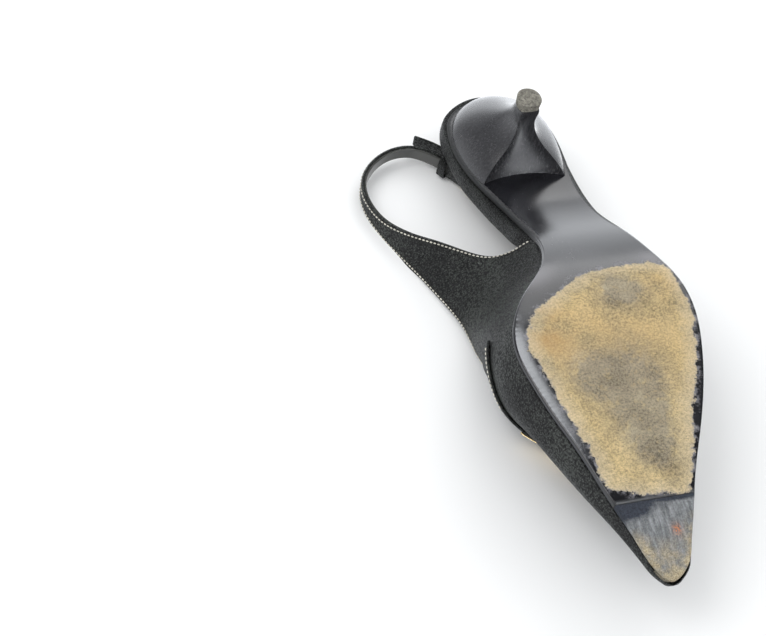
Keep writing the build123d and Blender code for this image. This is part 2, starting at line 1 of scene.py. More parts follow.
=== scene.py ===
"""Looks of a black pebbled leather slingback pump with a worn leather sole.

Everything is in the CAD frame: +Z up, toe to -Y, inner side of the foot +X, and the ground
face of the heel pad at the origin.  Sizes in the tables and in the number work are in
millimetres; mesh_piece turns them into metres.
"""

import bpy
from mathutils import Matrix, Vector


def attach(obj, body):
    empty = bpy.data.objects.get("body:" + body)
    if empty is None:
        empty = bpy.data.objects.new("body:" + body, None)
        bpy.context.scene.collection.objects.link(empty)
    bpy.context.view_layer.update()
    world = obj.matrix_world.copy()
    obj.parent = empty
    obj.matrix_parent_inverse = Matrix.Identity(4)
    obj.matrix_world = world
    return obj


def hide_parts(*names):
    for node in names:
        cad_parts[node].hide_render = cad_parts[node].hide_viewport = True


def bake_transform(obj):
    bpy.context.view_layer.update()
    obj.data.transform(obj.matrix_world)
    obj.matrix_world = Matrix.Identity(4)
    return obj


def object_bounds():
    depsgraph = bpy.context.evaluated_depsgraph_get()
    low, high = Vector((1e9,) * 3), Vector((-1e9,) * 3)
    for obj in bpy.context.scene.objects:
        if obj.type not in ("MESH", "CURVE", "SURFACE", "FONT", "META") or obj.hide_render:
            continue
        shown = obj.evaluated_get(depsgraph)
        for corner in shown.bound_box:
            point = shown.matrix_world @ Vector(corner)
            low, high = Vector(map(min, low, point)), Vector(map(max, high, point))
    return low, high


bl_info = {
    "name": "Slingback pump",
    "version": (1, 0, 0),
    "blender": (4, 5, 0),
    "location": "View3D > Sidebar > Pump",
    "description": "Leather, stitching, sole, heel and stage of a slingback pump",
    "category": "Object",
}

import math

import bmesh
import bpy
import numpy as np
from bpy.props import FloatProperty, FloatVectorProperty, PointerProperty
from mathutils import Matrix, Vector

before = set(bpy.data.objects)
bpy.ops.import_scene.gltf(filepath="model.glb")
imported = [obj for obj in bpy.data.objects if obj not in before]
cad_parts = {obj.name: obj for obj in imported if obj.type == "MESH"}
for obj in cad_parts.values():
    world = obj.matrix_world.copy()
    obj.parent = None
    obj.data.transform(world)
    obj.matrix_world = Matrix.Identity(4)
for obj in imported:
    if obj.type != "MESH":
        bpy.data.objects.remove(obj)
CAD_BOX = [list(map(float, corner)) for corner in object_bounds()]
MM = 0.001

# ------------------------------------------------------------------ the foot form, millimetres
# distance along the foot, then outer edge, outer bulge, outer shoulder, crown,
# inner shoulder, inner bulge and inner edge as (across, height)
FORM = [
    (-217.2, (12.4, 10.4), (12, 11.2), (13, 12.4), (15, 12.8),
     (17, 12.5), (18.4, 11.4), (18.2, 10.4)),
    (-214.4, (8.9, 9.7), (8.6, 11), (10.4, 13.4), (14.6, 14.4),
     (18, 13.2), (20.9, 10.8), (20.8, 9.7)),
    (-208, (5.9, 8.4), (4.7, 11), (7.6, 15.6), (13.6, 17.4),
     (18.8, 15.2), (23.6, 10.6), (23.2, 8.4)),
    (-195, (1, 5.9), (-0.9, 10), (3.2, 18), (12.6, 21.4), (21, 17.6), (28.3, 9.8), (27.2, 5.9)),
    (-178, (-6.2, 3.9), (-8.3, 10), (-4, 22.4), (10.5, 27.6),
     (23.8, 22.4), (34.8, 10), (32.6, 3.9)),
    (-160, (-14.9, 3), (-17.3, 10.6), (-12, 27.3), (8.5, 35),
     (26.8, 28.2), (40.4, 11.2), (37.2, 3)),
    (-142, (-23, 3), (-25.7, 12), (-20.5, 32.5), (6.5, 43.8),
     (28.6, 35.4), (45.4, 12.6), (41.8, 3)),
    (-124, (-29.3, 3), (-32.5, 13), (-28.4, 37), (4, 54), (33.4, 44.8), (47.8, 14), (44.2, 3)),
    (-106, (-31.5, 3.5), (-35.2, 14), (-32.2, 40), (3, 64), (37.6, 45.2), (45.8, 16), (41.4, 3.5)),
    (-90, (-30, 5.5), (-34.6, 17), (-32.4, 42), (3, 70), (40.6, 47), (39.6, 22.5), (29.6, 5.5)),
    (-74, (-26.4, 10.7), (-32.3, 22), (-31, 45), (3, 76), (41.4, 49.5), (31.5, 30), (17.2, 10.7)),
    (-58, (-23.4, 18.6), (-29.2, 28.5), (-28.6, 47.5), (3, 80),
     (45.3, 52), (29.4, 35.6), (13.6, 18.6)),
    (-42, (-21.6, 27.8), (-26.6, 35.6), (-26.2, 50), (4, 84),
     (50.6, 54.4), (34.6, 36.8), (14.4, 27.8)),
]
# distance along the foot and height of the upper's top edge
TOPLINE = [(-160, 45), (-104, 45), (-90, 47), (-74, 49.5), (-58, 52), (-44, 54), (-30, 56)]
# distance along the foot of the seams between vamp and side panels
SIDE_SEAM = -100.0
# distance along the foot and height of the tread line, in front of and behind the ball
TREAD_TOE = [(-226, 10.4), (-205, 4.7), (-188, 1.9), (-172, 0.45), (-159, 0)]
TREAD_REAR = [
    (-121, 0), (-104, 0.6), (-90, 2.5), (-76, 6.8), (-62, 13.2), (-49, 20.9),
    (-36, 27.2), (-22, 31.2), (0, 34.7), (20, 37.6), (48, 41.8),
]
# plans, across and along the foot: the outsole, and the insole board inside the upper
OUTSOLE = [
    (0, 35), (11.5, 32), (18.8, 26), (22.4, 16), (23.2, 5), (21.8, -8), (18.6, -20), (15.2, -32),
    (13.6, -44), (13.4, -56), (14.8, -67), (19, -77), (26.5, -86.5), (35.5, -96.5),
    (42, -107.5), (44.8, -120), (43.6, -132), (40.5, -147), (35.6, -165), (30.5, -185),
    (25.5, -200), (22.3, -209.5), (15.8, -217), (8.4, -212.5), (5, -205), (0.6, -194),
    (-5.2, -180), (-12.6, -165), (-21, -147), (-28.4, -126), (-31.6, -109), (-31.1, -96),
    (-28.2, -83), (-24.8, -66), (-22.3, -50), (-21.2, -35), (-21.4, -20), (-22.4, -8),
    (-23.2, 5), (-22.4, 16), (-18.8, 26), (-11.5, 32),
]
BOARD = [
    (0, 38.4), (12, 34.2), (19.2, 27), (22.1, 16), (22.5, 5), (21.6, -8), (19.2, -19),
    (16.6, -31), (15, -42), (14.2, -50), (11.8, -56.5), (11.5, -65), (14.6, -75),
    (21.5, -84.5), (30, -94), (37.5, -105), (41.2, -120), (38.6, -143), (32.4, -167),
    (25.4, -190), (19.3, -205), (15.4, -208.5), (10.9, -204), (4.4, -191), (-4.2, -172),
    (-14.6, -152), (-24.8, -128), (-28.2, -110), (-27.4, -95), (-24.4, -80), (-21.6, -66),
    (-20.8, -56), (-22.2, -46), (-22.5, -34), (-22.4, -20), (-22.6, -8), (-22.7, 5),
    (-22.1, 16), (-19.2, 27), (-12, 34.2),
]
# distance along the foot of the toe piece's seam, and the thickness of sole and toe piece
TAP_SEAM = -188.0
SOLE_THICK = 3.0
# rim of the bare nap at the ball
NAP = [
    (24, -98), (18, -94), (13, -91), (8, -88), (-2, -86), (-10, -85), (-19, -85), (-26, -87),
    (-29, -91), (-29.6, -100), (-29.8, -108), (-29, -115), (-26.5, -124), (-23.5, -133),
    (-18, -145), (-14.5, -152), (-10, -164), (-5.3, -176), (-2, -184), (0, -187), (8, -187),
    (16, -186), (22, -184.5), (27, -182.5), (29.5, -182), (30.5, -177), (32, -166),
    (34.8, -151), (36.5, -141), (36.8, -136), (37.5, -130), (38.5, -125), (39.8, -120),
    (38.4, -113), (35.3, -107),
]
# rear edge of the inner side panel, across and along the foot
REAR_EDGE = [(13.6, -57), (17.5, -56.2), (23.2, -54.4), (29.6, -49.9), (34, -45.6)]
# lower and upper edge of the wing and the sling, from the inner panel round the back
WING = [
    ((42.6, -36.6, 41.2), (52.4, -38, 55)),
    ((48.6, -30, 44.6), (54.8, -31, 56.2)),
    ((54.2, -23.4, 47.4), (57.4, -23.6, 57.2)),
    ((58.6, -16, 49.8), (59.8, -16, 57.8)),
    ((61.2, -8.6, 51), (61.6, -8.4, 58)),
    ((62.4, 0, 51.4), (62.2, 0.4, 58)),
    ((60.8, 8.2, 51.4), (60, 8.8, 58)),
    ((55.6, 15.6, 51.4), (54.6, 16.6, 58)),
    ((48, 21, 51.4), (47.2, 22.2, 58)),
    ((40, 23.4, 51.4), (39.6, 24.4, 58)),
    ((33, 22.8, 51.4), (32.8, 23.6, 58)),
    ((26.4, 18.8, 51.2), (26.2, 19.4, 57.8)),
    ((21.4, 13.6, 51), (21, 14, 57.6)),
    ((18.05, 8.95, 50.75), (18.05, 8.95, 57.25)),
]
# the same for the root of the billet on the outer side
BILLET_ROOT = [
    ((-25.6, -44, 42), (-25.4, -44, 52)),
    ((-21, -36.6, 44.8), (-21, -36.8, 52)),
    ((-13, -28.2, 47), (-13, -28.4, 52.8)),
    ((-2, -18.4, 49.2), (-2, -18.6, 54.4)),
]
# lines of the billet's end and of the sling's fold round the bar, in the buckle's own frame:
# distance along the strap and outwards from it
BILLET_LINE = [
    (15, -1.3), (11.8, -1.5), (9.2, -0.9), (4.8, 2.2), (1.6, 3.9), (-3, 4.3), (-10, 4.8),
    (-17, 4.5), (-23.5, 2.9), (-29.5, 0.4),
]
FOLD_LINE = [
    (-3, 1.3), (-1.2, 2.2), (0.9, 2.2), (2.2, 0.9), (2.25, -0.8), (1.0, -2.2), (-1.2, -2.5),
    (-4, -2.6), (-8, -2.9),
]
BILLET_HALF, FOLD_HALF = 2.5, 3.25
BUCKLE_AT = np.array((15.0, 4.0, 54.0))
BUCKLE_U = np.array((-0.5194, -0.8531, -0.0499))
BUCKLE_N = np.array((-0.8541, 0.5201, 0.0))
BUCKLE_V = np.cross(BUCKLE_N, BUCKLE_U)
# outline of a section runs over seven points, numbered 0 to 6
Q_STEPS = 960
Q_MAX = 6.0
# heights of the level lines that carry the throat band
BAND_HEIGHTS = np.linspace(19.4, 44.6, 31)


# ------------------------------------------------------------------ number work
def spline(knots, values, at, slopes=None):
    """Cubic curve through the values at the knots, smooth to the second order, with free
    ends or the given end slopes."""
    k = np.asarray(knots, float)
    v = np.asarray(values, float)
    shape = v.shape[1:]
    v = v.reshape(len(k), -1)
    h = np.diff(k)
    rise = np.diff(v, axis=0) / h[:, None]
    a = np.zeros((len(k), len(k)))
    b = np.zeros_like(v)
    i = np.arange(1, len(k) - 1)
    a[i, i - 1] = h[:-1]
    a[i, i] = 2 * (h[:-1] + h[1:])
    a[i, i + 1] = h[1:]
    b[1:-1] = 6 * (rise[1:] - rise[:-1])
    a[0, 0] = a[-1, -1] = 1
    if slopes is not None:
        a[0, :2] = 2 * h[0], h[0]
        a[-1, -2:] = h[-1], 2 * h[-1]
        b[0] = 6 * (rise[0] - slopes[0])
        b[-1] = 6 * (slopes[1] - rise[-1])
    m = np.linalg.solve(a, b)
    s = np.clip(np.asarray(at, float), k[0], k[-1])
    j = np.clip(np.searchsorted(k, s) - 1, 0, len(k) - 2)
    d = (s - k[j])[..., None]
    hj = h[j][..., None]
    slope = rise[j] - hj * (2 * m[j] + m[j + 1]) / 6
    out = v[j] + slope * d + m[j] / 2 * d**2 + (m[j + 1] - m[j]) / (6 * hj) * d**3
    return out.reshape(s.shape + shape)


def unit(v):
    """Vectors of length one."""
    return v / np.maximum(np.linalg.norm(v, axis=-1, keepdims=True), 1e-9)


def lengths(points):
    """Length along a run of points, from 0."""
    step = np.linalg.norm(np.diff(points, axis=0), axis=-1)
    return np.concatenate([[0], np.cumsum(step)])


def read_off(values, s, at):
    """Rows of values known at the lengths s, read off between them at other lengths."""
    return np.stack([np.interp(at, s, values[:, i]) for i in range(values.shape[1])], 1)


def through(points, count):
    """Smooth curve through points, sampled evenly by length."""
    p = np.asarray(points, float)
    s = lengths(p)
    fine = spline(s, p, np.linspace(0, s[-1], 40 * len(p)))
    t = lengths(fine)
    return read_off(fine, t, np.linspace(0, t[-1], count))


def ring(points, count):
    """Smooth closed curve through points, sampled evenly; the last sample isn't the first."""
    p = np.asarray(points, float)
    wrapped = np.concatenate([p[-4:], p, p[:5]])
    s = lengths(wrapped)
    fine = spline(s, wrapped, np.linspace(s[4], s[-5], 40 * len(p)))
    t = lengths(fine)
    return read_off(fine, t, np.linspace(0, t[-1], count + 1)[:-1])


def tread(y):
    """Height of the tread line: a curve up to the toe, flat at the ball, a curve up to the
    seat; its slopes are given at the toe, at both ends of the flat and at the back."""
    y = np.asarray(y, float)
    toe = np.array(TREAD_TOE)
    rear = np.array(TREAD_REAR)
    front = spline(toe[:, 0], toe[:, 1:], y, slopes=([-0.3], [0.0]))[..., 0]
    back = spline(rear[:, 0], rear[:, 1:], y, slopes=([0.0], [0.15]))[..., 0]
    return np.where(y < toe[-1, 0], front, np.where(y > rear[0, 0], back, 0.0))


def sides(plan, y):
    """Outer and inner edge of a closed plan at each y."""
    edge = ring(plan, 4000)
    tip = edge[:, 1].argmin()
    inner = edge[: tip + 1][::-1]
    outer = edge[tip:]
    return np.interp(y, outer[:, 1], outer[:, 0]), np.interp(y, inner[:, 1], inner[:, 0])


def form_sections():
    """Every form section as a smooth curve, sampled so that its seven points fall on 0 to 6."""
    q = np.linspace(0, Q_MAX, Q_STEPS + 1)
    rows = []
    for row in FORM:
        p = np.array(row[1:], float)
        s = lengths(p)
        rows.append(spline(s, p, np.interp(q, np.arange(7), s)))
    return np.array([row[0] for row in FORM], float), np.array(rows)


FORM_Y, FORM_XZ = form_sections()


def form_at(q, y):
    """Points of the form at section places q and distances y, both arrays of one shape."""
    q, y = np.broadcast_arrays(np.asarray(q, float), np.asarray(y, float))
    place = np.clip(q / Q_MAX * Q_STEPS, 0, Q_STEPS - 1e-6)
    low = place.astype(int)
    share = (place - low)[..., None]
    basis = spline(FORM_Y, np.eye(len(FORM_Y)), y.ravel())
    low, part = low.ravel(), share.reshape(-1, 1)
    picked = FORM_XZ[:, low] * (1 - part) + FORM_XZ[:, low + 1] * part
    xz = np.einsum("pn,npc->pc", basis, picked).reshape(y.shape + (2,))
    return np.stack([xz[..., 0], y, xz[..., 1]], -1)


def q_at_height(y, height, side):
    """Section place where the form falls to a height, on one side of the crown."""
    q = np.linspace(0, Q_MAX, Q_STEPS // 2 + 1)
    y = np.atleast_1d(np.asarray(y, float))
    height = np.broadcast_to(height, y.shape)
    z = form_at(q[None, :], y[:, None])[..., 2]
    found = []
    for row, level in zip(z, height):
        top = row.argmax()
        run = slice(top, None, side)
        under = np.nonzero(row[run] <= level)[0]
        if len(under) == 0:
            found.append(q[run][-1])
        elif under[0] == 0:
            found.append(q[top])
        else:
            i = under[0]
            a, b = row[run][i - 1], row[run][i]
            found.append(q[run][i - 1] + (q[run][i] - q[run][i - 1]) * (a - level) / (a - b))
    return np.array(found)


def topline(y):
    """Height of the upper's top edge."""
    line = np.array(TOPLINE, float)
    return spline(line[:, 0], line[:, 1:], y)[..., 0]


def grid_normals(p):
    """Unit normals of a grid of points, from the slopes along its rows and columns."""
    return unit(np.cross(np.gradient(p, axis=0), np.gradient(p, axis=1)))


# ------------------------------------------------------------------ mesh work
def mesh_piece(name, points, faces, material, attributes=None, weld=1e-6):
    """One object from points in millimetres and quads; doubles are merged, faces face out."""
    mesh = bpy.data.meshes.new(name)
    points = np.asarray(points, float).reshape(-1, 3) * MM
    mesh.from_pydata(points.tolist(), [], np.asarray(faces).tolist())
    for key, values in (attributes or {}).items():
        layer = mesh.attributes.new(key, "FLOAT", "POINT")
        layer.data.foreach_set("value", np.asarray(values, np.float32).ravel())
    work = bmesh.new()
    work.from_mesh(mesh)
    bmesh.ops.remove_doubles(work, verts=work.verts, dist=weld)
    bmesh.ops.dissolve_degenerate(work, edges=work.edges, dist=1e-7)
    bmesh.ops.recalc_face_normals(work, faces=work.faces)
    work.to_mesh(mesh)
    work.free()
    mesh.polygons.foreach_set("use_smooth", np.ones(len(mesh.polygons), bool))
    mesh.materials.append(bpy.data.materials[material])
    mesh.update()
    piece = bpy.data.objects.new(name, mesh)
    bpy.context.scene.collection.objects.link(piece)
    return piece


def quads(rows, cols, wrap_rows=False, wrap_cols=False):
    """Corner numbers of the quads of a grid whose points are numbered row by row."""
    i = np.arange(rows if wrap_rows else rows - 1)
    j = np.arange(cols if wrap_cols else cols - 1)
    a, b = np.meshgrid(i, j, indexing="ij")
    a2, b2 = (a + 1) % rows, (b + 1) % cols
    corners = [a * cols + b, a * cols + b2, a2 * cols + b2, a2 * cols + b]
    return np.stack(corners, -1).reshape(-1, 4)


def close_ends(grid):
    """Grid with one more row at each end, all on the middle of the end row."""
    middle = grid.mean(1, keepdims=True) + 0 * grid
    return np.concatenate([middle[:1], grid, middle[-1:]])


def wrapped_sheet(outer, thickness, out, lift=0.0):
    """Closed leaf: each row goes along the outer face, round the edge, back along the inner
    face and round the other edge; both ends close on the middle of the leaf.
    Thickness may vary by row.  Returns points (rows, loop) and the loop length."""
    n = grid_normals(outer) * out
    t = np.broadcast_to(np.asarray(thickness, float), outer.shape[:1])[:, None, None]
    face = outer + n * lift
    back = face - n * t
    middle = face - n * t / 2
    edge_a = middle[:, :1] + unit(middle[:, :1] - middle[:, 1:2]) * t / 2
    edge_b = middle[:, -1:] + unit(middle[:, -1:] - middle[:, -2:-1]) * t / 2
    loop = np.concatenate([face, edge_b, back[:, ::-1], edge_a], 1)
    shut = []
    for row, inner in ((0, 1), (-1, -2)):
        push = unit(middle[row] - middle[inner]) * t[row] / 2
        line = middle[row] + push
        shut.append(np.concatenate([line, line[-1:], line[::-1], line[:1]], 0))
    return np.concatenate([shut[0][None], loop, shut[1][None]], 0), loop.shape[1]


def tube_piece(name, grid, material, attributes=None, wrap_rows=False):
    """Piece whose rows are closed loops, all with the same number of points."""
    faces = quads(*grid.shape[:2], wrap_rows=wrap_rows, wrap_cols=True)
    return mesh_piece(name, grid, faces, material, attributes)


def leaf(name, outer, thickness, out, material, lift=0.0):
    """Leather leaf as a closed piece."""
    return tube_piece(name, wrapped_sheet(outer, thickness, out, lift)[0], material)


def swept_ring(name, path, profile, across, material):
    """Profile (sideways, up) carried round a closed path, its up side along one vector."""
    p = np.asarray(path, float)
    ahead = unit(np.roll(p, -1, 0) - np.roll(p, 1, 0))
    up = unit(across - ahead * np.sum(across * ahead, 1, keepdims=True))
    side = np.cross(ahead, up)
    grid = p[:, None] + side[:, None] * profile[:, :1] + up[:, None] * profile[:, 1:]
    return tube_piece(name, grid, material, wrap_rows=True)


def rounded_box(width, height, radius, steps):
    """Outline of a rectangle with round corners, centred."""
    a = np.linspace(0, math.pi / 2, steps + 1)
    corner = np.stack([np.cos(a), np.sin(a)], 1) * radius
    hw, hh = width / 2 - radius, height / 2 - radius
    parts = []
    for turn, (x, y) in enumerate([(hw, hh), (-hw, hh), (-hw, -hh), (hw, -hh)]):
        c, s = math.cos(turn * math.pi / 2), math.sin(turn * math.pi / 2)
        parts.append(corner @ np.array([[c, s], [-s, c]]) + (x, y))
    return np.concatenate(parts)


def stitches(name, line, normal):
    """Row of stitches: each a small bead, a full oval along the line and sunk at both ends;
    its section is a six-sided ring whose size goes with the cube of the distance along it."""
    spec = sizes()
    length, gap, radius = spec.stitch / MM, spec.stitch_gap / MM, spec.stitch_radius / MM
    s = lengths(line)
    middle = np.arange(gap, s[-1] - length, length + gap) + length / 2
    centre = read_off(line, s, middle)
    ahead = unit(read_off(line, s, middle + 0.4) - read_off(line, s, middle - 0.4))
    up = unit(read_off(normal, s, middle))
    side = np.cross(ahead, up)
    rows, cols = 7, 6
    u = np.linspace(-1, 1, rows)
    w = np.arange(cols) / cols * 2 * math.pi
    fat = np.sqrt(np.clip(1 - np.abs(u) ** 3, 0, 1))
    x = u[:, None] * length / 2 + 0 * w
    y = fat[:, None] * np.cos(w) * radius
    z = fat[:, None] * np.sin(w) * radius + (0.18 - 0.28 * u[:, None] ** 2) * radius
    bead = (
        centre[:, None, None]
        + ahead[:, None, None] * x[None, ..., None]
        + side[:, None, None] * y[None, ..., None]
        + up[:, None, None] * z[None, ..., None]
    )
    one = quads(rows, cols, wrap_cols=True)
    faces = one[None] + (np.arange(len(centre)) * rows * cols)[:, None, None]
    return mesh_piece(name, bead, faces.reshape(-1, 4), "white_thread")


def distance_inside(x, y, plan):
    """Distance to the nearest sample of a closed plan, below zero outside it: a point is
    inside where a line from it to the left crosses the plan an odd number of times."""
    rim = ring(plan, 240)
    flat = np.stack([x.ravel(), y.ravel()], 1)
    best = np.full(len(flat), 1e9)
    for block in np.array_split(np.arange(len(flat)), 24):
        gap = flat[block, None] - rim[None]
        best[block] = np.sqrt((gap**2).sum(-1)).min(1)
    nxt = np.roll(rim, -1, 0)
    crosses = (rim[None, :, 1] > flat[:, 1:]) != (nxt[None, :, 1] > flat[:, 1:])
    cut = (nxt[:, 0] - rim[:, 0]) * (flat[:, 1:] - rim[:, 1]) / (nxt[:, 1] - rim[:, 1] + 1e-12)
    inside = (crosses & (flat[:, :1] < cut + rim[:, 0])).sum(1) % 2 == 1
    return np.where(inside, best, -best).reshape(x.shape)


# ------------------------------------------------------------------ shapes of the upper
def in_buckle(line, half):
    """Stations of a strap given in the buckle's frame, as its lower and upper edge."""
    return [
        tuple(BUCKLE_AT + BUCKLE_U * u + BUCKLE_N * n + BUCKLE_V * w * half for w in (-1, 1))
        for u, n in line
    ]


def flank(side, columns=45):
    """Outer face of a side panel and the strap it runs into, as rows from the lower to the
    upper edge.  The first rows are straight lines in the form's own two parameters, from the
    sole edge or the rear edge up to the topline; the last ones are the strap's stations,
    slightly crowned.  A smooth curve through all rows fills in between."""
    v = np.linspace(0, 1, columns)
    if side > 0:
        edge_q, corner = Q_MAX, -57.0
        rear_rows = through(REAR_EDGE, 7)[1:]
        upper = np.concatenate([np.linspace(SIDE_SEAM, -67, 9), np.linspace(-63, -45.5, 6)])
        low_y = np.concatenate([np.linspace(SIDE_SEAM, corner, 9), rear_rows[:, 1]])
        q = np.linspace(3, Q_MAX, 400)
        x = form_at(q[None], rear_rows[:, 1:2])[..., 0]
        rear_q = [
            np.interp(-at, -row[row.argmax():], q[row.argmax():])
            for at, row in zip(rear_rows[:, 0], x)
        ]
        stations = WING + in_buckle(FOLD_LINE, FOLD_HALF)
    else:
        edge_q, corner = 0.0, -53.5
        rear_rows = np.array([(-52.6, 24), (-51.2, 29.5), (-50, 34)], float)
        upper = np.concatenate([np.linspace(SIDE_SEAM, -60, 9), np.linspace(-57, -51.5, 3)])
        low_y = np.concatenate([np.linspace(SIDE_SEAM, corner, 9), rear_rows[:, 0]])
        rear_q = q_at_height(rear_rows[:, 0], rear_rows[:, 1], -1)
        stations = BILLET_ROOT + in_buckle(BILLET_LINE, BILLET_HALF)
    low_q = np.concatenate([np.full(9, edge_q), rear_q])
    high_q = q_at_height(upper, topline(upper), side)
    qs = low_q[:, None] + (high_q - low_q)[:, None] * v
    ys = low_y[:, None] + (upper - low_y)[:, None] * v
    on_form = form_at(qs, ys)
    low = np.array([a for a, b in stations], float)[:, None]
    high = np.array([b for a, b in stations], float)[:, None]
    on_strap = low + (high - low) * v[:, None]
    rows = np.concatenate([on_form, on_strap])
    s = lengths(rows.mean(1))
    row_gap = 0.85
    return spline(s, rows, np.linspace(0, s[-1], int(s[-1] / row_gap)))


def vamp_half(side, rows_front=90, rows_back=60, columns=56, top_drop=0.0):
    """Outer face of one half of the vamp, rows from the toe to the side seam, columns from
    the sole edge to the crown line or, behind the throat's front, to the topline.  Returns
    it with the number of rows in front of the throat, two rows that close the nose among
    them."""
    y = np.linspace(-150, -125, 400)
    crown = form_at(np.linspace(2, 4, 81)[None], y[:, None])[..., 2]
    throat = np.interp(0, crown.max(1) - topline(y) + top_drop, y)
    crown_q = np.linspace(2, 4, 81)[crown[np.abs(y - throat).argmin()].argmax()]
    toe = FORM[0][0]
    front = toe + (throat - toe) * np.linspace(0, 1, rows_front) ** 1.5
    back = throat + (SIDE_SEAM - throat) * np.linspace(0, 1, rows_back + 1)[1:] ** 2
    ys = np.concatenate([front, back])
    top = np.full(len(ys), crown_q)
    top[rows_front:] = q_at_height(back, topline(back) - top_drop, side)
    edge_q = Q_MAX if side > 0 else 0.0
    v = 1 - (1 - np.linspace(0, 1, columns)) ** 1.15
    qs = edge_q + (top - edge_q)[:, None] * v
    points = form_at(qs, ys[:, None] + 0 * v)
    middle = form_at(np.linspace(0, Q_MAX, 41), np.full(41, toe)).mean(0)
    nose = middle + 0 * points[:1]
    nose[..., 1] = toe - 0.7
    half = middle + (points[:1] - middle) * 0.72
    half[..., 1] = toe - 0.42
    return np.concatenate([nose, half, points]), rows_front + 2


def vamp_shell(name, material, thickness, lift=0.0, thin_toe=False, skip=0, weld=2e-5, **half):
    """Both halves of the vamp as one closed leaf.  Along the crown they share one edge, so
    no rim is rolled there; the first rows may be skipped, and the toe may be thinned."""
    points, faces, start = [], [], 0
    for side in (1, -1):
        outer, joined = vamp_half(side, **half)
        outer, joined = outer[skip:], joined - skip
        cols = outer.shape[1]
        thin = np.clip((outer[:, 0, 1] + 217.0) / 9.0, 0.22, 1) if thin_toe else 1.0
        sheet, loop = wrapped_sheet(outer, thickness * thin, side, lift)
        on_crown = np.arange(sheet.shape[0])[:, None] <= joined
        middle = (sheet[:, cols - 1] + sheet[:, cols + 1]) / 2
        sheet[:, cols] = np.where(on_crown, middle, sheet[:, cols])
        f = quads(sheet.shape[0], loop, wrap_cols=True)
        row, col = f[:, 0] // loop, f[:, 0] % loop
        rim = (row < joined) & ((col == cols - 1) | (col == cols))
        points.append(sheet.reshape(-1, 3))
        faces.append(f[~rim] + start)
        start += sheet.shape[0] * loop
    return mesh_piece(name, np.concatenate(points), np.concatenate(faces), material, weld=weld)


def level_line(height, y_rear, count):
    """Line round the throat on the form at one height, inner side first, sampled evenly on
    each side of its front point."""
    y = np.linspace(-152, -120, 500)
    crown = form_at(np.linspace(2, 4, 81)[None], y[:, None])[..., 2].max(1)
    front = np.interp(height, crown, y)
    ys = front + (y_rear - front) * np.linspace(0, 1, 60) ** 2
    arms = []
    for side in (1, -1):
        q = q_at_height(ys, height - 1e-4, side)
        line = form_at(q, ys)
        line[:, 2] = height
        arms.append(through(line, count))
    return np.concatenate([arms[0][::-1], arms[1][1:]])


def level_stack(heights, y_rear, count):
    """Level lines at several heights, side by side."""
    return np.stack([level_line(h, y_rear, count) for h in heights], 1)


def band_points(levels, shares):
    """Points at shares of the way between the band's lower edge, deep at its ends and
    shallow over the crown, and its upper edge, read off a stack of level lines."""
    t = np.abs(np.linspace(-1, 1, levels.shape[0]))
    low = 38.8 - 19.0 * t[:, None] ** 0.95
    h = low + (BAND_HEIGHTS[-1] - low) * np.asarray(shares)
    at = (h - BAND_HEIGHTS[0]) / (BAND_HEIGHTS[1] - BAND_HEIGHTS[0])
    i = np.clip(at.astype(int), 0, len(BAND_HEIGHTS) - 2)
    share = (at - i)[..., None]
    r = np.arange(levels.shape[0])[:, None]
    return levels[r, i] * (1 - share) + levels[r, i + 1] * share


def slab(plan, y_from, y_to, low, high, rows, columns, radius, inset=0, cut_from=False,
         cut_to=False):
    """Closed slab that follows the tread line: each row runs across the bottom, round the
    edge, back across the top and round the other edge.  Rows crowd together at round ends."""
    share = np.linspace(0, 1, rows)
    if cut_from:
        share = np.sin(share * math.pi / 2)
    elif cut_to:
        share = 1 - np.cos(share * math.pi / 2)
    else:
        share = (1 - np.cos(share * math.pi)) / 2
    y = y_from + (y_to - y_from) * share
    outer, inner = sides(plan, y)
    centre, half = (outer + inner) / 2, np.maximum((inner - outer) / 2 - inset, 0.02)
    thick = high - low
    r = min(radius, thick / 2 - 0.01)
    a = np.linspace(-math.pi / 2, 0, 6)[1:]
    b = np.linspace(0, math.pi / 2, 5)
    flat = np.linspace(-1, 1, columns)
    r_row = np.minimum(r, half * 0.9)[:, None]
    w = half[:, None]
    bottom = np.stack([flat * (w - r_row), 0 * flat + 0 * w], -1)
    turn_low = np.stack([w - r_row + np.cos(a) * r_row, r_row * 0 + r + np.sin(a) * r], -1)
    turn_high = np.stack(
        [w - r_row + np.cos(b) * r_row, r_row * 0 + thick - r + np.sin(b) * r], -1
    )
    top_flat = np.linspace(1, -1, 24)[1:-1]
    top = np.stack([top_flat * (w - r_row), 0 * top_flat + thick + 0 * w], -1)
    left_high = turn_high[:, ::-1] * (-1, 1)
    left_low = turn_low[:, ::-1] * (-1, 1)
    section = np.concatenate([bottom, turn_low, turn_high, top, left_high, left_low[:, :-1]], 1)
    x = centre[:, None] + section[..., 0]
    z = tread(y)[:, None] + low + section[..., 1]
    grid = np.stack([x, y[:, None] + 0 * x, z], -1)
    return close_ends(grid)


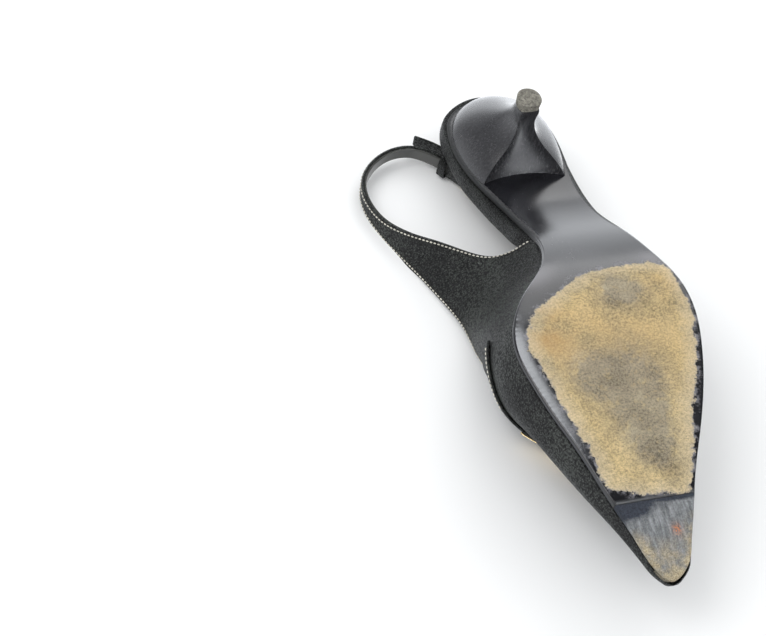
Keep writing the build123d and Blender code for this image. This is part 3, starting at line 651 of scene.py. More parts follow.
# ------------------------------------------------------------------ materials
class Graph:
    """A material's nodes, with short calls for the ones used here."""

    def __init__(self, name, metallic=0.0, specular=0.5):
        self.material = bpy.data.materials.new(name)
        self.material.use_nodes = True
        self.tree = self.material.node_tree
        self.shader = self.tree.nodes["Principled BSDF"]
        self.put(self.shader, "Metallic", metallic)
        self.put(self.shader, "Specular IOR Level", specular)
        self.here = self.node("ShaderNodeTexCoord").outputs["Object"]

    def put(self, node, key, value):
        """Link a socket or set it to a value."""
        socket = node.inputs[key]
        if isinstance(value, bpy.types.NodeSocket):
            self.tree.links.new(value, socket)
        elif isinstance(value, (tuple, list)) and socket.type == "RGBA" and len(value) == 3:
            socket.default_value = (*value, 1.0)
        else:
            socket.default_value = value

    def node(self, kind, inputs=None, **settings):
        """New node with its settings and its inputs, each a value or another node's output."""
        node = self.tree.nodes.new(kind)
        for key, value in settings.items():
            setattr(node, key, value)
        for key, value in (inputs or {}).items():
            self.put(node, key, value)
        return node

    def turned(self, angle, *scale):
        """Object coordinates turned about the upright axis and scaled."""
        inputs = {"Vector": self.here, "Rotation": (0, 0, angle), "Scale": scale}
        return self.node("ShaderNodeMapping", inputs).outputs[0]

    def noise(self, scale, detail=3.0, rough=0.55, at=None):
        """Cloudy pattern, mostly 0.3 to 0.7."""
        inputs = {"Vector": at or self.here, "Scale": scale, "Detail": detail, "Roughness": rough}
        return self.node("ShaderNodeTexNoise", inputs).outputs[0]

    def cells(self, scale, at):
        """Distance to the middle of the nearest grain cell, with soft valleys."""
        inputs = {"Vector": at, "Scale": scale, "Smoothness": 0.35}
        return self.node("ShaderNodeTexVoronoi", inputs, feature="SMOOTH_F1").outputs["Distance"]

    def shaken(self, scale, amount):
        """Object coordinates pushed about by a noise."""
        push = self.node("ShaderNodeTexNoise", {"Vector": self.here, "Scale": scale, "Detail": 2.0})
        half = self.node("ShaderNodeVectorMath", {0: push.outputs["Color"], 1: (0.5, 0.5, 0.5)},
                         operation="SUBTRACT")
        size = self.node("ShaderNodeVectorMath", {0: half.outputs[0], "Scale": amount},
                         operation="SCALE")
        return self.node("ShaderNodeVectorMath", {0: self.here, 1: size.outputs[0]}).outputs[0]

    def calc(self, what, a, b):
        """One sum of two numbers."""
        return self.node("ShaderNodeMath", {0: a, 1: b}, operation=what).outputs[0]

    def plus(self, a, b, times=1.0):
        """a + b * times."""
        return self.calc("ADD", a, b if times == 1.0 else self.times(b, times))

    def times(self, a, b):
        """a * b."""
        return self.calc("MULTIPLY", a, b)

    def fit(self, value, low, high, to_low=0.0, to_high=1.0):
        """Value carried from one range to another, held at its ends."""
        inputs = {"Value": value, "From Min": low, "From Max": high, "To Min": to_low,
                  "To Max": to_high}
        return self.node("ShaderNodeMapRange", inputs).outputs[0]

    def ramp(self, value, *stops):
        """Colour read off a ramp of (place, colour) stops."""
        node = self.node("ShaderNodeValToRGB", {"Fac": value})
        band = node.color_ramp
        while len(band.elements) < len(stops):
            band.elements.new(0.5)
        for element, (place, colour) in zip(band.elements, stops):
            element.position = place
            element.color = (*colour, 1.0)
        return node.outputs[0]

    def mix(self, share, a, b):
        """Colour a, with a share of colour b."""
        node = self.node("ShaderNodeMix", data_type="RGBA")
        self.put(node, 0, share)
        self.put(node, 6, a)
        self.put(node, 7, b)
        return node.outputs[2]

    def attribute(self, name):
        """Number stored on the piece's points."""
        return self.node("ShaderNodeAttribute", attribute_name=name).outputs["Fac"]

    def relief(self, height, distance, strength):
        """Normal bent by a height pattern, its distance in metres."""
        inputs = {"Height": height, "Distance": distance, "Strength": strength}
        return self.node("ShaderNodeBump", inputs).outputs[0]

    def finish(self, colour, roughness, normal):
        """Link the three patterned inputs of the shader."""
        for key, value in (("Base Color", colour), ("Roughness", roughness), ("Normal", normal)):
            self.put(self.shader, key, value)


def shade(colour, factor):
    """A colour made lighter or darker."""
    return tuple(min(1.0, c * factor) for c in colour[:3])


def pebbled_leather(name, colour, cell=1250.0, depth=0.0007, specular=0.36):
    """Grain cells with soft tops and valleys, the colour painted lighter on the tops as painted
    highlight and darker in the valleys as painted shade, over slow random changes of tone.
    """
    g = Graph(name, specular=specular)
    at = g.shaken(500.0, 0.0012)
    big = g.cells(cell, at)
    small = g.cells(cell * 2.3, at)
    fine = g.noise(5200.0, 3.0)
    height = g.plus(g.times(big, -1.0), small, -0.35)
    height = g.plus(height, fine, 0.12)
    slow = g.noise(38.0, 4.0)
    # tone: painted highlight at the middle of each grain cell and painted shade in the valleys
    # between cells, plus slow random changes of tone
    tone = g.plus(g.fit(big, 0.15, 0.75), g.fit(slow, 0.3, 0.7, -0.3, 0.3))
    # painted highlight up to 3.2 times the leather colour on the cell tops, painted shade down to a
    # tenth of it in the valleys
    paint = g.ramp(tone, (0.05, shade(colour, 3.2)), (0.45, shade(colour, 1.0)),
                   (0.8, shade(colour, 0.1)))
    rough = g.plus(g.fit(big, 0.1, 0.8, 0.28, 0.62), g.fit(slow, 0.3, 0.7, -0.05, 0.07))
    g.finish(paint, rough, g.relief(height, depth, 1.0))


def smooth_lining(name, colour):
    """Flat dyed lining leather with pores and faint rubbing marks."""
    g = Graph(name, specular=0.3)
    pores = g.noise(3600.0, 4.0, 0.7)
    rub = g.noise(60.0, 5.0)
    paint = g.ramp(rub, (0.3, shade(colour, 0.8)), (0.7, shade(colour, 1.5)))
    g.finish(paint, g.fit(rub, 0.3, 0.7, 0.5, 0.72), g.relief(pores, 0.00006, 0.7))


def lacquered_sole(name, lacquer, nap):
    """Black lacquer over the sole leather; where the nap attribute is above zero the lacquer
    is worn through to fuzzy leather, soiled where the soil attribute is high."""
    g = Graph(name, specular=0.8)
    inside = g.attribute("nap")
    soil = g.attribute("soil")
    side = g.attribute("side")
    lilac = g.attribute("lilac")
    warm = g.attribute("warm")
    ragged = g.calc("SUBTRACT", g.noise(210.0, 5.0, 0.65), 0.5)
    torn = g.calc("SUBTRACT", g.noise(1300.0, 3.0, 0.6), 0.5)
    rim = g.plus(inside, ragged, 7.5)
    rim = g.plus(rim, torn, 2.6)
    bare = g.fit(rim, -0.25, 0.35)
    pale_rim = g.fit(rim, 0.2, 7.0, 0.8, 0.0)
    scuffed_rim = g.times(g.fit(rim, -2.6, -0.2), g.fit(g.noise(260.0, 4.0), 0.47, 0.6))
    grain = g.noise(1050.0, 7.0, 0.85)
    fluff = g.noise(3600.0, 5.0, 0.8)
    cloud = g.noise(70.0, 5.0, 0.6)
    tone = g.plus(g.times(grain, 0.75), fluff, 0.3)
    tone = g.plus(tone, g.fit(cloud, 0.3, 0.7, -0.05, 0.05))
    tan = g.ramp(tone, (0.42, shade(nap, 0.3)), (0.49, shade(nap, 0.74)), (0.54, shade(nap, 1.05)),
                 (0.62, shade(nap, 1.6)))
    brown = g.ramp(tone, (0.3, (0.16, 0.08, 0.025)), (0.5, (0.42, 0.25, 0.09)),
                   (0.7, (0.66, 0.46, 0.21)))
    tan = g.mix(g.times(warm, g.fit(cloud, 0.35, 0.62)), tan, brown)
    light = g.ramp(tone, (0.3, (0.34, 0.29, 0.21)), (0.5, (0.6, 0.52, 0.38)),
                   (0.7, (0.8, 0.73, 0.6)))
    tan = g.mix(g.times(pale_rim, 0.6), tan, light)
    tan = g.mix(g.fit(rim, 0.0, 0.9, 0.5, 0.0), tan, (0.36, 0.33, 0.31))
    streak = g.fit(g.noise(120.0, 5.0, 0.7, at=g.turned(0.3, 1.0, 0.45, 1.0)), 0.42, 0.66)
    tan = g.mix(g.times(streak, 0.3), tan, g.mix(0.5, tan, (0.36, 0.29, 0.2)))
    dirt = g.ramp(g.plus(tone, cloud, 0.2), (0.48, (0.03, 0.03, 0.03)),
                  (0.62, (0.19, 0.18, 0.155)), (0.8, (0.42, 0.4, 0.33)))
    patch = g.times(g.calc("MINIMUM", g.times(soil, 1.7), 1.0),
                    g.fit(g.noise(260.0, 6.0, 0.75), 0.26, 0.56))
    tan = g.mix(g.calc("MINIMUM", patch, 0.68), tan, dirt)
    specks = g.times(g.fit(g.noise(1050.0, 5.0, 0.8), 0.6, 0.66),
                     g.plus(g.times(g.calc("POWER", soil, 2.0), 0.8), 0.3))
    tan = g.mix(specks, tan, (0.03, 0.026, 0.022))
    scratch = g.fit(g.noise(700.0, 6.0, 0.8, at=g.turned(0.5, 1.0, 0.16, 1.0)), 0.58, 0.7)
    haze = g.noise(45.0, 4.0)
    black = g.ramp(haze, (0.35, shade(lacquer, 0.8)), (0.7, shade(lacquer, 1.7)))
    black = g.mix(g.times(scratch, 0.16), black, (0.1, 0.1, 0.11))
    black = g.mix(g.times(scuffed_rim, 0.55), black, (0.3, 0.29, 0.32))
    gloss = g.plus(g.fit(haze, 0.3, 0.7, 0.12, 0.22), scratch, 0.12)
    gloss = g.plus(gloss, scuffed_rim, 0.4)
    gloss = g.plus(gloss, side, 0.6)
    black = g.mix(g.times(lilac, 0.75), black, (0.1, 0.095, 0.11))
    black = g.mix(g.times(side, 0.7), black, (0.006, 0.007, 0.007))
    rough = g.node("ShaderNodeMix", data_type="FLOAT")
    g.put(rough, 0, bare)
    g.put(rough, 2, gloss)
    g.put(rough, 3, 0.95)
    fuzz = g.times(bare, g.plus(grain, fluff, 0.6))
    height = g.calc("SUBTRACT", fuzz, g.times(bare, 0.5))
    slight = g.times(g.noise(300.0, 2.0), 0.03)
    g.finish(g.mix(bare, black, tan), rough.outputs[0],
             g.relief(g.plus(height, slight), 0.0005, 0.85))


def scuffed_tap(name, colour):
    """Toe piece: blue-black at the seam, scuffed grey by fine slanting scratches, rubbed tan
    along its rim and at the tip."""
    g = Graph(name, specular=0.35)
    rubbed = g.attribute("rubbed")
    dark = g.attribute("dark")
    spot = g.attribute("spot")
    fine = g.noise(1500.0, 6.0, 0.75)
    slant = g.noise(900.0, 5.0, 0.7, at=g.turned(0.75, 1.0, 0.12, 1.0))
    cloud = g.noise(150.0, 5.0, 0.65)
    grey = g.ramp(g.plus(g.times(slant, 0.6), fine, 0.4),
                  (0.36, shade(colour, 0.3)), (0.5, shade(colour, 1.0)),
                  (0.68, shade(colour, 2.0)))
    tan = g.ramp(fine, (0.35, (0.14, 0.11, 0.07)), (0.5, (0.4, 0.33, 0.21)),
                 (0.68, (0.66, 0.58, 0.42)))
    share = g.times(rubbed, g.fit(cloud, 0.34, 0.58))
    paint = g.mix(share, grey, tan)
    navy = g.ramp(fine, (0.35, (0.006, 0.008, 0.013)), (0.65, (0.035, 0.042, 0.06)))
    paint = g.mix(g.fit(g.plus(dark, cloud, 0.9), 0.75, 1.1), paint,
                  navy)
    paint = g.mix(g.times(spot, g.fit(fine, 0.42, 0.6)), paint, (0.6, 0.2, 0.06))
    rough = g.fit(cloud, 0.3, 0.7, 0.55, 0.8)
    height = g.plus(fine, slant)
    g.finish(paint, rough, g.relief(height, 0.00022, 0.7))


def glossy_heel(name, colour):
    """Smooth polished leather with faint upright brush marks and a few scuffs."""
    g = Graph(name, specular=0.6)
    brush = g.noise(1.0, 5.0, 0.7, at=g.turned(0.0, 1500.0, 1500.0, 90.0))
    scuff = g.fit(g.noise(240.0, 6.0, 0.75), 0.62, 0.7)
    cloud = g.noise(90.0, 4.0)
    paint = g.ramp(brush, (0.35, shade(colour, 0.7)), (0.65, shade(colour, 1.6)))
    paint = g.mix(g.times(scuff, 0.35), paint, (0.16, 0.15, 0.15))
    rough = g.plus(g.fit(brush, 0.3, 0.7, 0.13, 0.27), scuff, 0.25)
    rough = g.plus(rough, g.fit(cloud, 0.35, 0.65, 0.0, 0.08))
    g.finish(paint, rough, g.relief(brush, 0.00005, 0.5))


def worn_pad(name, colour):
    """Rough worn rubber: mottled, with dark nicks."""
    g = Graph(name, specular=0.25)
    mottle = g.noise(520.0, 6.0, 0.75)
    fine = g.noise(2600.0, 4.0, 0.7)
    nick = g.fit(g.noise(760.0, 4.0, 0.6), 0.6, 0.68)
    paint = g.ramp(mottle, (0.34, shade(colour, 0.3)), (0.5, shade(colour, 0.9)),
                   (0.66, shade(colour, 1.6)))
    paint = g.mix(nick, paint, (0.03, 0.028, 0.026))
    height = g.plus(mottle, fine, 0.4)
    g.finish(paint, g.fit(fine, 0.3, 0.7, 0.75, 0.95), g.relief(height, 0.0005, 0.9))


def plated_metal(name, colour, low=0.16, high=0.34):
    """Polished plating with fine rubbing marks."""
    g = Graph(name, metallic=1.0)
    rub = g.noise(1400.0, 5.0, 0.7)
    cloud = g.noise(200.0, 3.0)
    paint = g.ramp(cloud, (0.3, shade(colour, 0.85)), (0.7, shade(colour, 1.1)))
    g.finish(paint, g.fit(rub, 0.3, 0.7, low, high), g.relief(rub, 0.00003, 0.4))


def spun_thread(name, colour):
    """Waxed thread: pale, with a fine twist and a little soiling."""
    g = Graph(name, specular=0.3)
    twist = g.noise(5200.0, 2.0)
    soil = g.noise(140.0, 4.0)
    paint = g.ramp(soil, (0.35, shade(colour, 0.7)), (0.65, shade(colour, 1.0)))
    g.finish(paint, g.fit(twist, 0.3, 0.7, 0.55, 0.8), g.relief(twist, 0.00012, 0.8))


def plain_stock(name, colour, grain, low=0.55, high=0.8, metallic=0.0):
    """Any inner material: one grain of its own size and two tones."""
    g = Graph(name, metallic=metallic)
    speck = g.noise(grain, 5.0, 0.7)
    paint = g.ramp(speck, (0.35, shade(colour, 0.65)), (0.65, shade(colour, 1.25)))
    g.finish(paint, g.fit(speck, 0.3, 0.7, low, high), g.relief(speck, 0.0001, 0.6))


# ------------------------------------------------------------------ settings
def colour_setting(label, about, default):
    """A colour that a user may change."""
    return FloatVectorProperty(
        name=label, description=about, default=default, size=3, min=0.0, max=1.0, subtype="COLOR"
    )


def size_setting(label, about, default):
    """A length in metres that a user may change."""
    return FloatProperty(name=label, description=about, default=default, unit="LENGTH")


class PumpColours(bpy.types.PropertyGroup):
    leather: colour_setting("Upper leather", "Pebbled leather", (0.0165, 0.0185, 0.0165))
    lining: colour_setting("Lining", "Lining leather", (0.022, 0.021, 0.021))
    lacquer: colour_setting("Lacquer", "Black lacquer of the sole", (0.007, 0.007, 0.009))
    nap: colour_setting("Bare nap", "Sole leather where the lacquer is gone", (0.53, 0.405, 0.2))
    tap: colour_setting("Toe piece", "Scuffed toe piece", (0.17, 0.178, 0.185))
    heel: colour_setting("Heel leather", "Glossy heel covering", (0.03, 0.03, 0.033))
    pad: colour_setting("Heel pad", "Worn pad under the heel", (0.22, 0.21, 0.18))
    thread: colour_setting("Thread", "Contrast stitching", (0.78, 0.75, 0.66))
    metal: colour_setting("Metal", "Gold-tone plating", (0.83, 0.64, 0.36))


class PumpSizes(bpy.types.PropertyGroup):
    leather: size_setting("Leather", "Thickness of the upper leather", 0.0012)
    lining: size_setting("Lining", "Thickness of the lining leather", 0.0009)
    stitch: size_setting("Stitch", "Length of one stitch", 0.0013)
    stitch_gap: size_setting("Stitch gap", "Gap between stitches", 0.0005)
    stitch_radius: size_setting("Thread radius", "Radius of the thread", 0.0003)
    rim: size_setting("Seat rim", "Height of the seat rim over the tread line", 0.0113)
    lamp: FloatProperty(name="Lamp power", description="Power of the soft lamps", default=0.3,
                        min=0.0)


def colours():
    """The scene's colour settings."""
    return bpy.context.scene.pump_colours


def sizes():
    """The scene's size settings."""
    return bpy.context.scene.pump_sizes


def dress(material, *nodes):
    """Give CAD nodes their material."""
    for node in nodes:
        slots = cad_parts[node].data.materials
        slots.clear()
        slots.append(bpy.data.materials[material])


def place(piece, body, slot, *nodes):
    """Ride on a body and stand for CAD nodes; the slot is not used."""
    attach(piece, body)
    if nodes:
        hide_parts(*nodes)
    return piece


# ------------------------------------------------------------------ operators
class PUMP_OT_materials(bpy.types.Operator):
    """Make every material"""

    bl_idname = "pump.materials"
    bl_label = "Materials"

    def execute(self, context):
        c = colours()
        pebbled_leather("pebbled_leather", c.leather)
        pebbled_leather("band_leather", shade(c.leather, 0.6), cell=1500.0, depth=0.0005,
                        specular=0.26)
        smooth_lining("lining_leather", c.lining)
        lacquered_sole("lacquered_sole", c.lacquer, c.nap)
        scuffed_tap("scuffed_tap", c.tap)
        glossy_heel("glossy_heel", c.heel)
        worn_pad("worn_pad", c.pad)
        plated_metal("gold_plate", c.metal)
        spun_thread("white_thread", c.thread)
        plain_stock("steel", (0.5, 0.5, 0.51), 900.0, low=0.3, high=0.5, metallic=1.0)
        plain_stock("fibreboard", (0.36, 0.26, 0.17), 1500.0)
        plain_stock("cork", (0.42, 0.27, 0.14), 600.0)
        plain_stock("moulded_plastic", (0.12, 0.12, 0.12), 1200.0)
        plain_stock("stiff_felt", (0.5, 0.45, 0.36), 2200.0)
        plain_stock("latex_foam", (0.7, 0.64, 0.5), 1800.0, low=0.8, high=0.95)
        return {"FINISHED"}


class PUMP_OT_sole(bpy.types.Operator):
    """Outsole with its bare nap, and the toe piece in front of the seam"""

    bl_idname = "pump.sole"
    bl_label = "Sole"

    def execute(self, context):
        grid = slab(OUTSOLE, TAP_SEAM + 0.05, 34.95, low=0, high=SOLE_THICK, rows=360,
                    columns=130, radius=0.9, cut_from=True)
        x, y = grid[..., 0], grid[..., 1]
        under = grid[..., 2] < tread(y) + 1.6  # the lower half of the thickness
        edge = distance_inside(x, y, OUTSOLE)
        # the margin beside the ball falls away from the ground
        fall = np.clip(1 - edge / 7.5, 0, 1) ** 2 * np.clip((x - 2) / 8, 0, 1)
        fall = fall * np.clip((-92 - y) / 14, 0, 1) * np.clip((y + 186) / 40, 0, 1)
        grid[..., 2] += np.where(under, 0.95 * fall, 0)
        nap = np.where(under, distance_inside(x, y, NAP), -9.0)

        def blob(at, reach, lean=0.0):
            """Soft oval spot, 1 in its middle, falling as a bell curve along two leaning axes."""
            u = (x - at[0]) * math.cos(lean) + (y - at[1]) * math.sin(lean)
            w = -(x - at[0]) * math.sin(lean) + (y - at[1]) * math.cos(lean)
            return np.exp(-((u / reach[0]) ** 2 + (w / reach[1]) ** 2))

        # marks on the sole: soiled nap, brown nap, dull black edges, violet haze
        soil = blob((-5, -98), (8, 7)) + blob((5, -147), (10, 19), 0.25)
        soil += 0.8 * blob((18, -135), (9, 10)) + 0.55 * blob((6, -168), (7, 9))
        seat = np.clip((y + 62) / 8, 0, 1)
        side = seat * np.where(under, np.clip(1.9 - edge / 1.1, 0, 1), 1)
        side = np.maximum(side, np.clip((-186.6 - y) / 0.8, 0, 1))
        lilac = blob((25, -86), (9, 5), -0.6) + 0.8 * blob((-25, -84), (7, 6), 0.8)
        warm = blob((31, -112), (9, 13)) + 0.55 * blob((4, -122), (26, 22))
        warm += 0.5 * blob((-22, -98), (8, 8))
        marks = {"nap": nap, "soil": np.clip(soil, 0, 1), "warm": np.clip(warm, 0, 1), "side": side,
                 "lilac": np.clip(lilac, 0, 1)}
        sole = tube_piece("outsole_leather", grid, "lacquered_sole", marks)
        place(sole, "shoe", "lacquered_leather", "outsole")

        grid = slab(OUTSOLE, -216.95, TAP_SEAM - 0.2, low=0, high=SOLE_THICK, rows=120,
                    columns=90, radius=0.8, cut_to=True)
        x, y = grid[..., 0], grid[..., 1]
        rim = distance_inside(x, y, OUTSOLE)
        # marks on the toe piece: rubbed rim and tip, dark band by the seam, one orange spot
        rubbed = np.clip(1.25 - rim / 4.2, 0, 1)
        rubbed = rubbed * np.clip((-194 - y + 0.14 * np.minimum(0, -x)) / 6, 0, 1)
        rubbed = np.maximum(rubbed, np.clip((-201 - y) / 12, 0, 0.85))
        dark = np.clip((y + 199) / 9, 0, 1) * np.clip((x - 3) / 18, 0.12, 1)
        dark = np.maximum(dark, 0.75 * np.clip((y + 191.5) / 2.5, 0, 1))
        spot = np.exp(-(((x - 9.5) / 1.7) ** 2 + ((y + 200.5) / 2.0) ** 2))
        marks = {"rubbed": rubbed, "dark": dark, "spot": spot}
        tap = tube_piece("toe_piece", grid, "scuffed_tap", marks)
        place(tap, "shoe", "tap_rubber", "toe_tap")
        return {"FINISHED"}


class PUMP_OT_upper(bpy.types.Operator):
    """Vamp and the two side panels, the inner one running into the sling"""

    bl_idname = "pump.upper"
    bl_label = "Upper leather"

    def execute(self, context):
        t = sizes().leather / MM
        vamp = vamp_shell("vamp_leather", "pebbled_leather", t, thin_toe=True)
        place(vamp, "shoe", "upper_leather", "vamp")
        wing = leaf("inner_panel_and_sling", flank(1), t, 1, "pebbled_leather", lift=0.02)
        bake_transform(wing)
        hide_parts("medial_quarter", "sling_strap")
        panel = leaf("outer_panel_and_billet", flank(-1), t, -1, "pebbled_leather", lift=0.02)
        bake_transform(panel)
        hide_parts("lateral_quarter", "billet_strap")
        return {"FINISHED"}


class PUMP_OT_linings(bpy.types.Operator):
    """Linings of vamp, side panels and sling, and the sock over the insole"""

    bl_idname = "pump.linings"
    bl_label = "Linings"

    def execute(self, context):
        t, lining = sizes().leather / MM, sizes().lining / MM
        vamp = vamp_shell("vamp_inside", "lining_leather", lining, lift=-t - 0.06, skip=12,
                          weld=6e-5, rows_front=60, rows_back=44, columns=40, top_drop=0.25)
        place(vamp, "shoe", "lining_leather", "vamp_lining")
        # the linings stop short of the buckle's bar, and a little inside the leather's edges
        inner = flank(1, 31)
        inner = inner[: int(len(inner) * 0.915), 1:-1]
        piece = leaf("inner_panel_inside", inner, lining, 1, "lining_leather", lift=-t - 0.05)
        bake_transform(piece)
        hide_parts("medial_quarter_lining", "sling_strap_lining")
        outer = flank(-1, 31)
        outer = outer[: int(len(outer) * 0.36), 1:-1]
        piece = leaf("outer_panel_inside", outer, lining, -1, "lining_leather", lift=-t - 0.05)
        place(piece, "shoe", "lining_leather", "lateral_quarter_lining")
        grid = slab(BOARD, -207.9, 38.2, low=7.05, high=7.85, rows=220, columns=40,
                    radius=0.35, inset=0.1)
        sock = tube_piece("sock", grid, "lining_leather")
        place(sock, "shoe", "lining_leather", "sock_lining")
        return {"FINISHED"}


class PUMP_OT_seat(bpy.types.Operator):
    """Leather rim round the seat, from waist to waist, turned in under the insole board"""

    bl_idname = "pump.seat"
    bl_label = "Seat rim"

    def execute(self, context):
        edge = np.roll(ring(BOARD, 3000), 1500, 0)
        edge = edge[edge[:, 1] > -58]
        gap = np.nonzero(np.linalg.norm(np.diff(edge, axis=0), axis=1) > 2)[0]
        if len(gap):
            edge = np.roll(edge, -(gap[0] + 1), 0)
        s = lengths(edge)
        even = np.linspace(0, s[-1], 260)
        line = read_off(edge, s, even)
        ahead = unit(np.gradient(line, axis=0))
        out = np.stack([ahead[:, 1], -ahead[:, 0], 0 * even], 1)
        if (out[:, :2] * line).sum() < 0:
            out = -out
        # section of the rim: outwards from the board's edge, and up from the tread line
        top = sizes().rim / MM
        face = np.array([
            (-4.5, 2.86), (0.3, 2.86), (0.95, 3.0), (1.3, 4.2), (1.42, 6.0), (1.45, 8.0),
            (1.36, 9.6), (1.12, top - 0.5), (0.7, top - 0.08), (0.2, top),
            (-0.25, top - 0.25), (-0.4, top - 0.9), (0.06, 8.2), (0.05, 5.4), (0.04, 3.3),
            (-0.4, 3.04), (-4.5, 3.02),
        ])
        # the rim gets lower over its last 7 mm at both ends
        foot = 3.1
        taper = np.clip(np.minimum(even, s[-1] - even) / 7.0, 0, 1) ** 0.6
        origin = np.stack([line[:, 0], line[:, 1], tread(line[:, 1])], 1)
        grid = origin[:, None] + out[:, None] * face[None, :, :1]
        grid[..., 2] += foot + (face[:, 1] - foot)[None] * (0.6 + 0.4 * taper[:, None])
        rim = tube_piece("seat_rim", close_ends(grid), "band_leather")
        place(rim, "shoe", "upper_leather", "seat_band")
        return {"FINISHED"}


class PUMP_OT_ornament(bpy.types.Operator):
    """Stitched band round the throat and the gold-tone bar over it"""

    bl_idname = "pump.ornament"
    bl_label = "Throat band and bar"

    def execute(self, context):
        levels = level_stack(BAND_HEIGHTS, -101.5, 110)
        rows = band_points(levels, np.linspace(0, 1, 15))
        band = leaf("throat_band", rows, 1.15, -1, "band_leather", lift=1.3)
        place(band, "shoe", "upper_leather", "vamp_band")
        rows = level_stack(np.linspace(36.8, 39.6, 5), -131.5, 60)
        bar = leaf("throat_bar_metal", rows, 0.9, -1, "gold_plate", lift=2.5)
        place(bar, "shoe", "gold_metal", "throat_bar")
        return {"FINISHED"}


class PUMP_OT_stitching(bpy.types.Operator):
    """White stitches along the wing's two edges and the band"""

    bl_idname = "pump.stitching"
    bl_label = "Stitching"

    def execute(self, context):
        outer = flank(1)
        normal = grid_normals(outer)
        width = np.linalg.norm(outer[:, -1] - outer[:, 0], axis=1)
        s = lengths(outer.mean(1))

        def inset_line(from_low, margin, first, last):
            """Line at a margin from the lower or the upper edge, just above the leather."""
            v = margin / width if from_low else 1 - margin / width
            at = v * (outer.shape[1] - 1)
            low = np.clip(at.astype(int), 0, outer.shape[1] - 2)
            share = (at - low)[:, None]
            r = np.arange(len(outer))
            line = outer[r, low] * (1 - share) + outer[r, low + 1] * share
            n = normal[r, low] * (1 - share) + normal[r, low + 1] * share
            return (line + n * 0.1)[first:last], n[first:last]

        # from the panel's rear corner, or the topline's front, to short of the buckle
        corner = int(np.abs(outer[:, 0, 1] + 57).argmin())
        last = int(np.abs(s - s[-1] * 0.87).argmin())
        for name, from_low, first in (("rear_edge_stitches", True, corner),
                                      ("topline_stitches", False, 4)):
            line, n = inset_line(from_low, 0.85, first, last)
            row = stitches(name, line, n)
            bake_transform(row)
        # the band's stitches run along its lower edge, on the inner side only
        pair = band_points(level_stack(BAND_HEIGHTS, -102.5, 110), (0.07, 0.14))
        n = -grid_normals(pair)[:50, 0]
        row = stitches("band_stitches", pair[:50, 0] + n * 1.36, n)
        place(row, "shoe", "upper_leather")
        return {"FINISHED"}


class PUMP_OT_heel(bpy.types.Operator):
    """Heel covering, breast, pad, and the parts inside the shoe"""

    bl_idname = "pump.heel"
    bl_label = "Heel and inner parts"

    def execute(self, context):
        dress("glossy_heel", "heel_cover", "heel_breast_cover")
        dress("worn_pad", "heel_top_piece")
        dress("steel", "shank", "shank_rivets", "heel_tube", "top_piece_pin", "heel_screw",
              "heel_nails")
        dress("fibreboard", "insole_board")
        dress("cork", "bottom_filler")
        dress("moulded_plastic", "heel_block")
        dress("stiff_felt", "toe_puff")
        # cushion: an oval pad whose section is a flat lens, out and up from its middle
        a = np.linspace(0, 2 * math.pi, 49)[:-1]
        r = np.array([0, 0.4, 0.75, 0.93, 1.0, 0.93, 0.75, 0.4, 0])
        h = np.array([0, 0, 0.05, 0.2, 0.5, 0.8, 0.95, 1.0, 1.0])
        x = 17.3 * r[:, None] * np.cos(a)
        y = 11 + 22.8 * r[:, None] * np.sin(a)
        z = tread(y) + 5.75 + 1.2 * h[:, None]
        grid = np.stack([x, y, z], -1)
        pad = tube_piece("heel_cushion", grid, "latex_foam")
        place(pad, "shoe", "latex_foam", "sock_pad")
        return {"FINISHED"}


class PUMP_OT_buckle(bpy.types.Operator):
    """Buckle frame and prong, and the leather keeper"""

    bl_idname = "pump.buckle"
    bl_label = "Buckle and keeper"

    def execute(self, context):
        dress("gold_plate", "buckle_frame", "buckle_prong")
        # the keeper goes round both straps, 10.4 mm along from the buckle's bar
        middle = BUCKLE_AT + BUCKLE_U * -10.4 + BUCKLE_N * 0.75
        path = rounded_box(8.35, 10.1, 1.6, 6)
        loop = middle + BUCKLE_V * path[:, :1] + BUCKLE_N * path[:, 1:]
        profile = rounded_box(0.85, 3.9, 0.35, 3)
        keeper = swept_ring("keeper_leather", loop, profile, BUCKLE_U, "band_leather")
        place(keeper, "keeper", "upper_leather", "keeper_loop")
        return {"FINISHED"}


# soft lights that only reflections see: direction, cosine at the full and the outer edge, power
GLOWS = (
    ((0, 0, 1), 0.35, -0.4, 0.6),
    ((0.02, 0.53, -0.85), 0.992, 0.962, 7.5),
    ((-0.3, 0.9, 0.3), 0.98, 0.66, 1.5),
    ((0.1, 0.9, -0.3), 0.97, 0.78, 0.6),
    ((-0.3, -0.95, 0.05), 0.985, 0.8, 3.5),
    ((-0.3, -0.66, -0.69), 0.985, 0.86, 9.0),
    ((1, 0.25, 0.1), 0.97, 0.75, 0.8),
)
# lamps: name, place from the middle of the shoe in metres, width in metres, watts
LAMPS = (
    ("under_left", (0.55, 0.1, -0.75), 0.55, 9.0),
    ("under_back", (-0.45, 0.75, -0.55), 0.6, 7.0),
    ("over_left", (0.6, -0.6, 1.0), 0.7, 12.0),
    ("over_right", (-0.9, 0.4, 0.8), 0.7, 9.0),
)


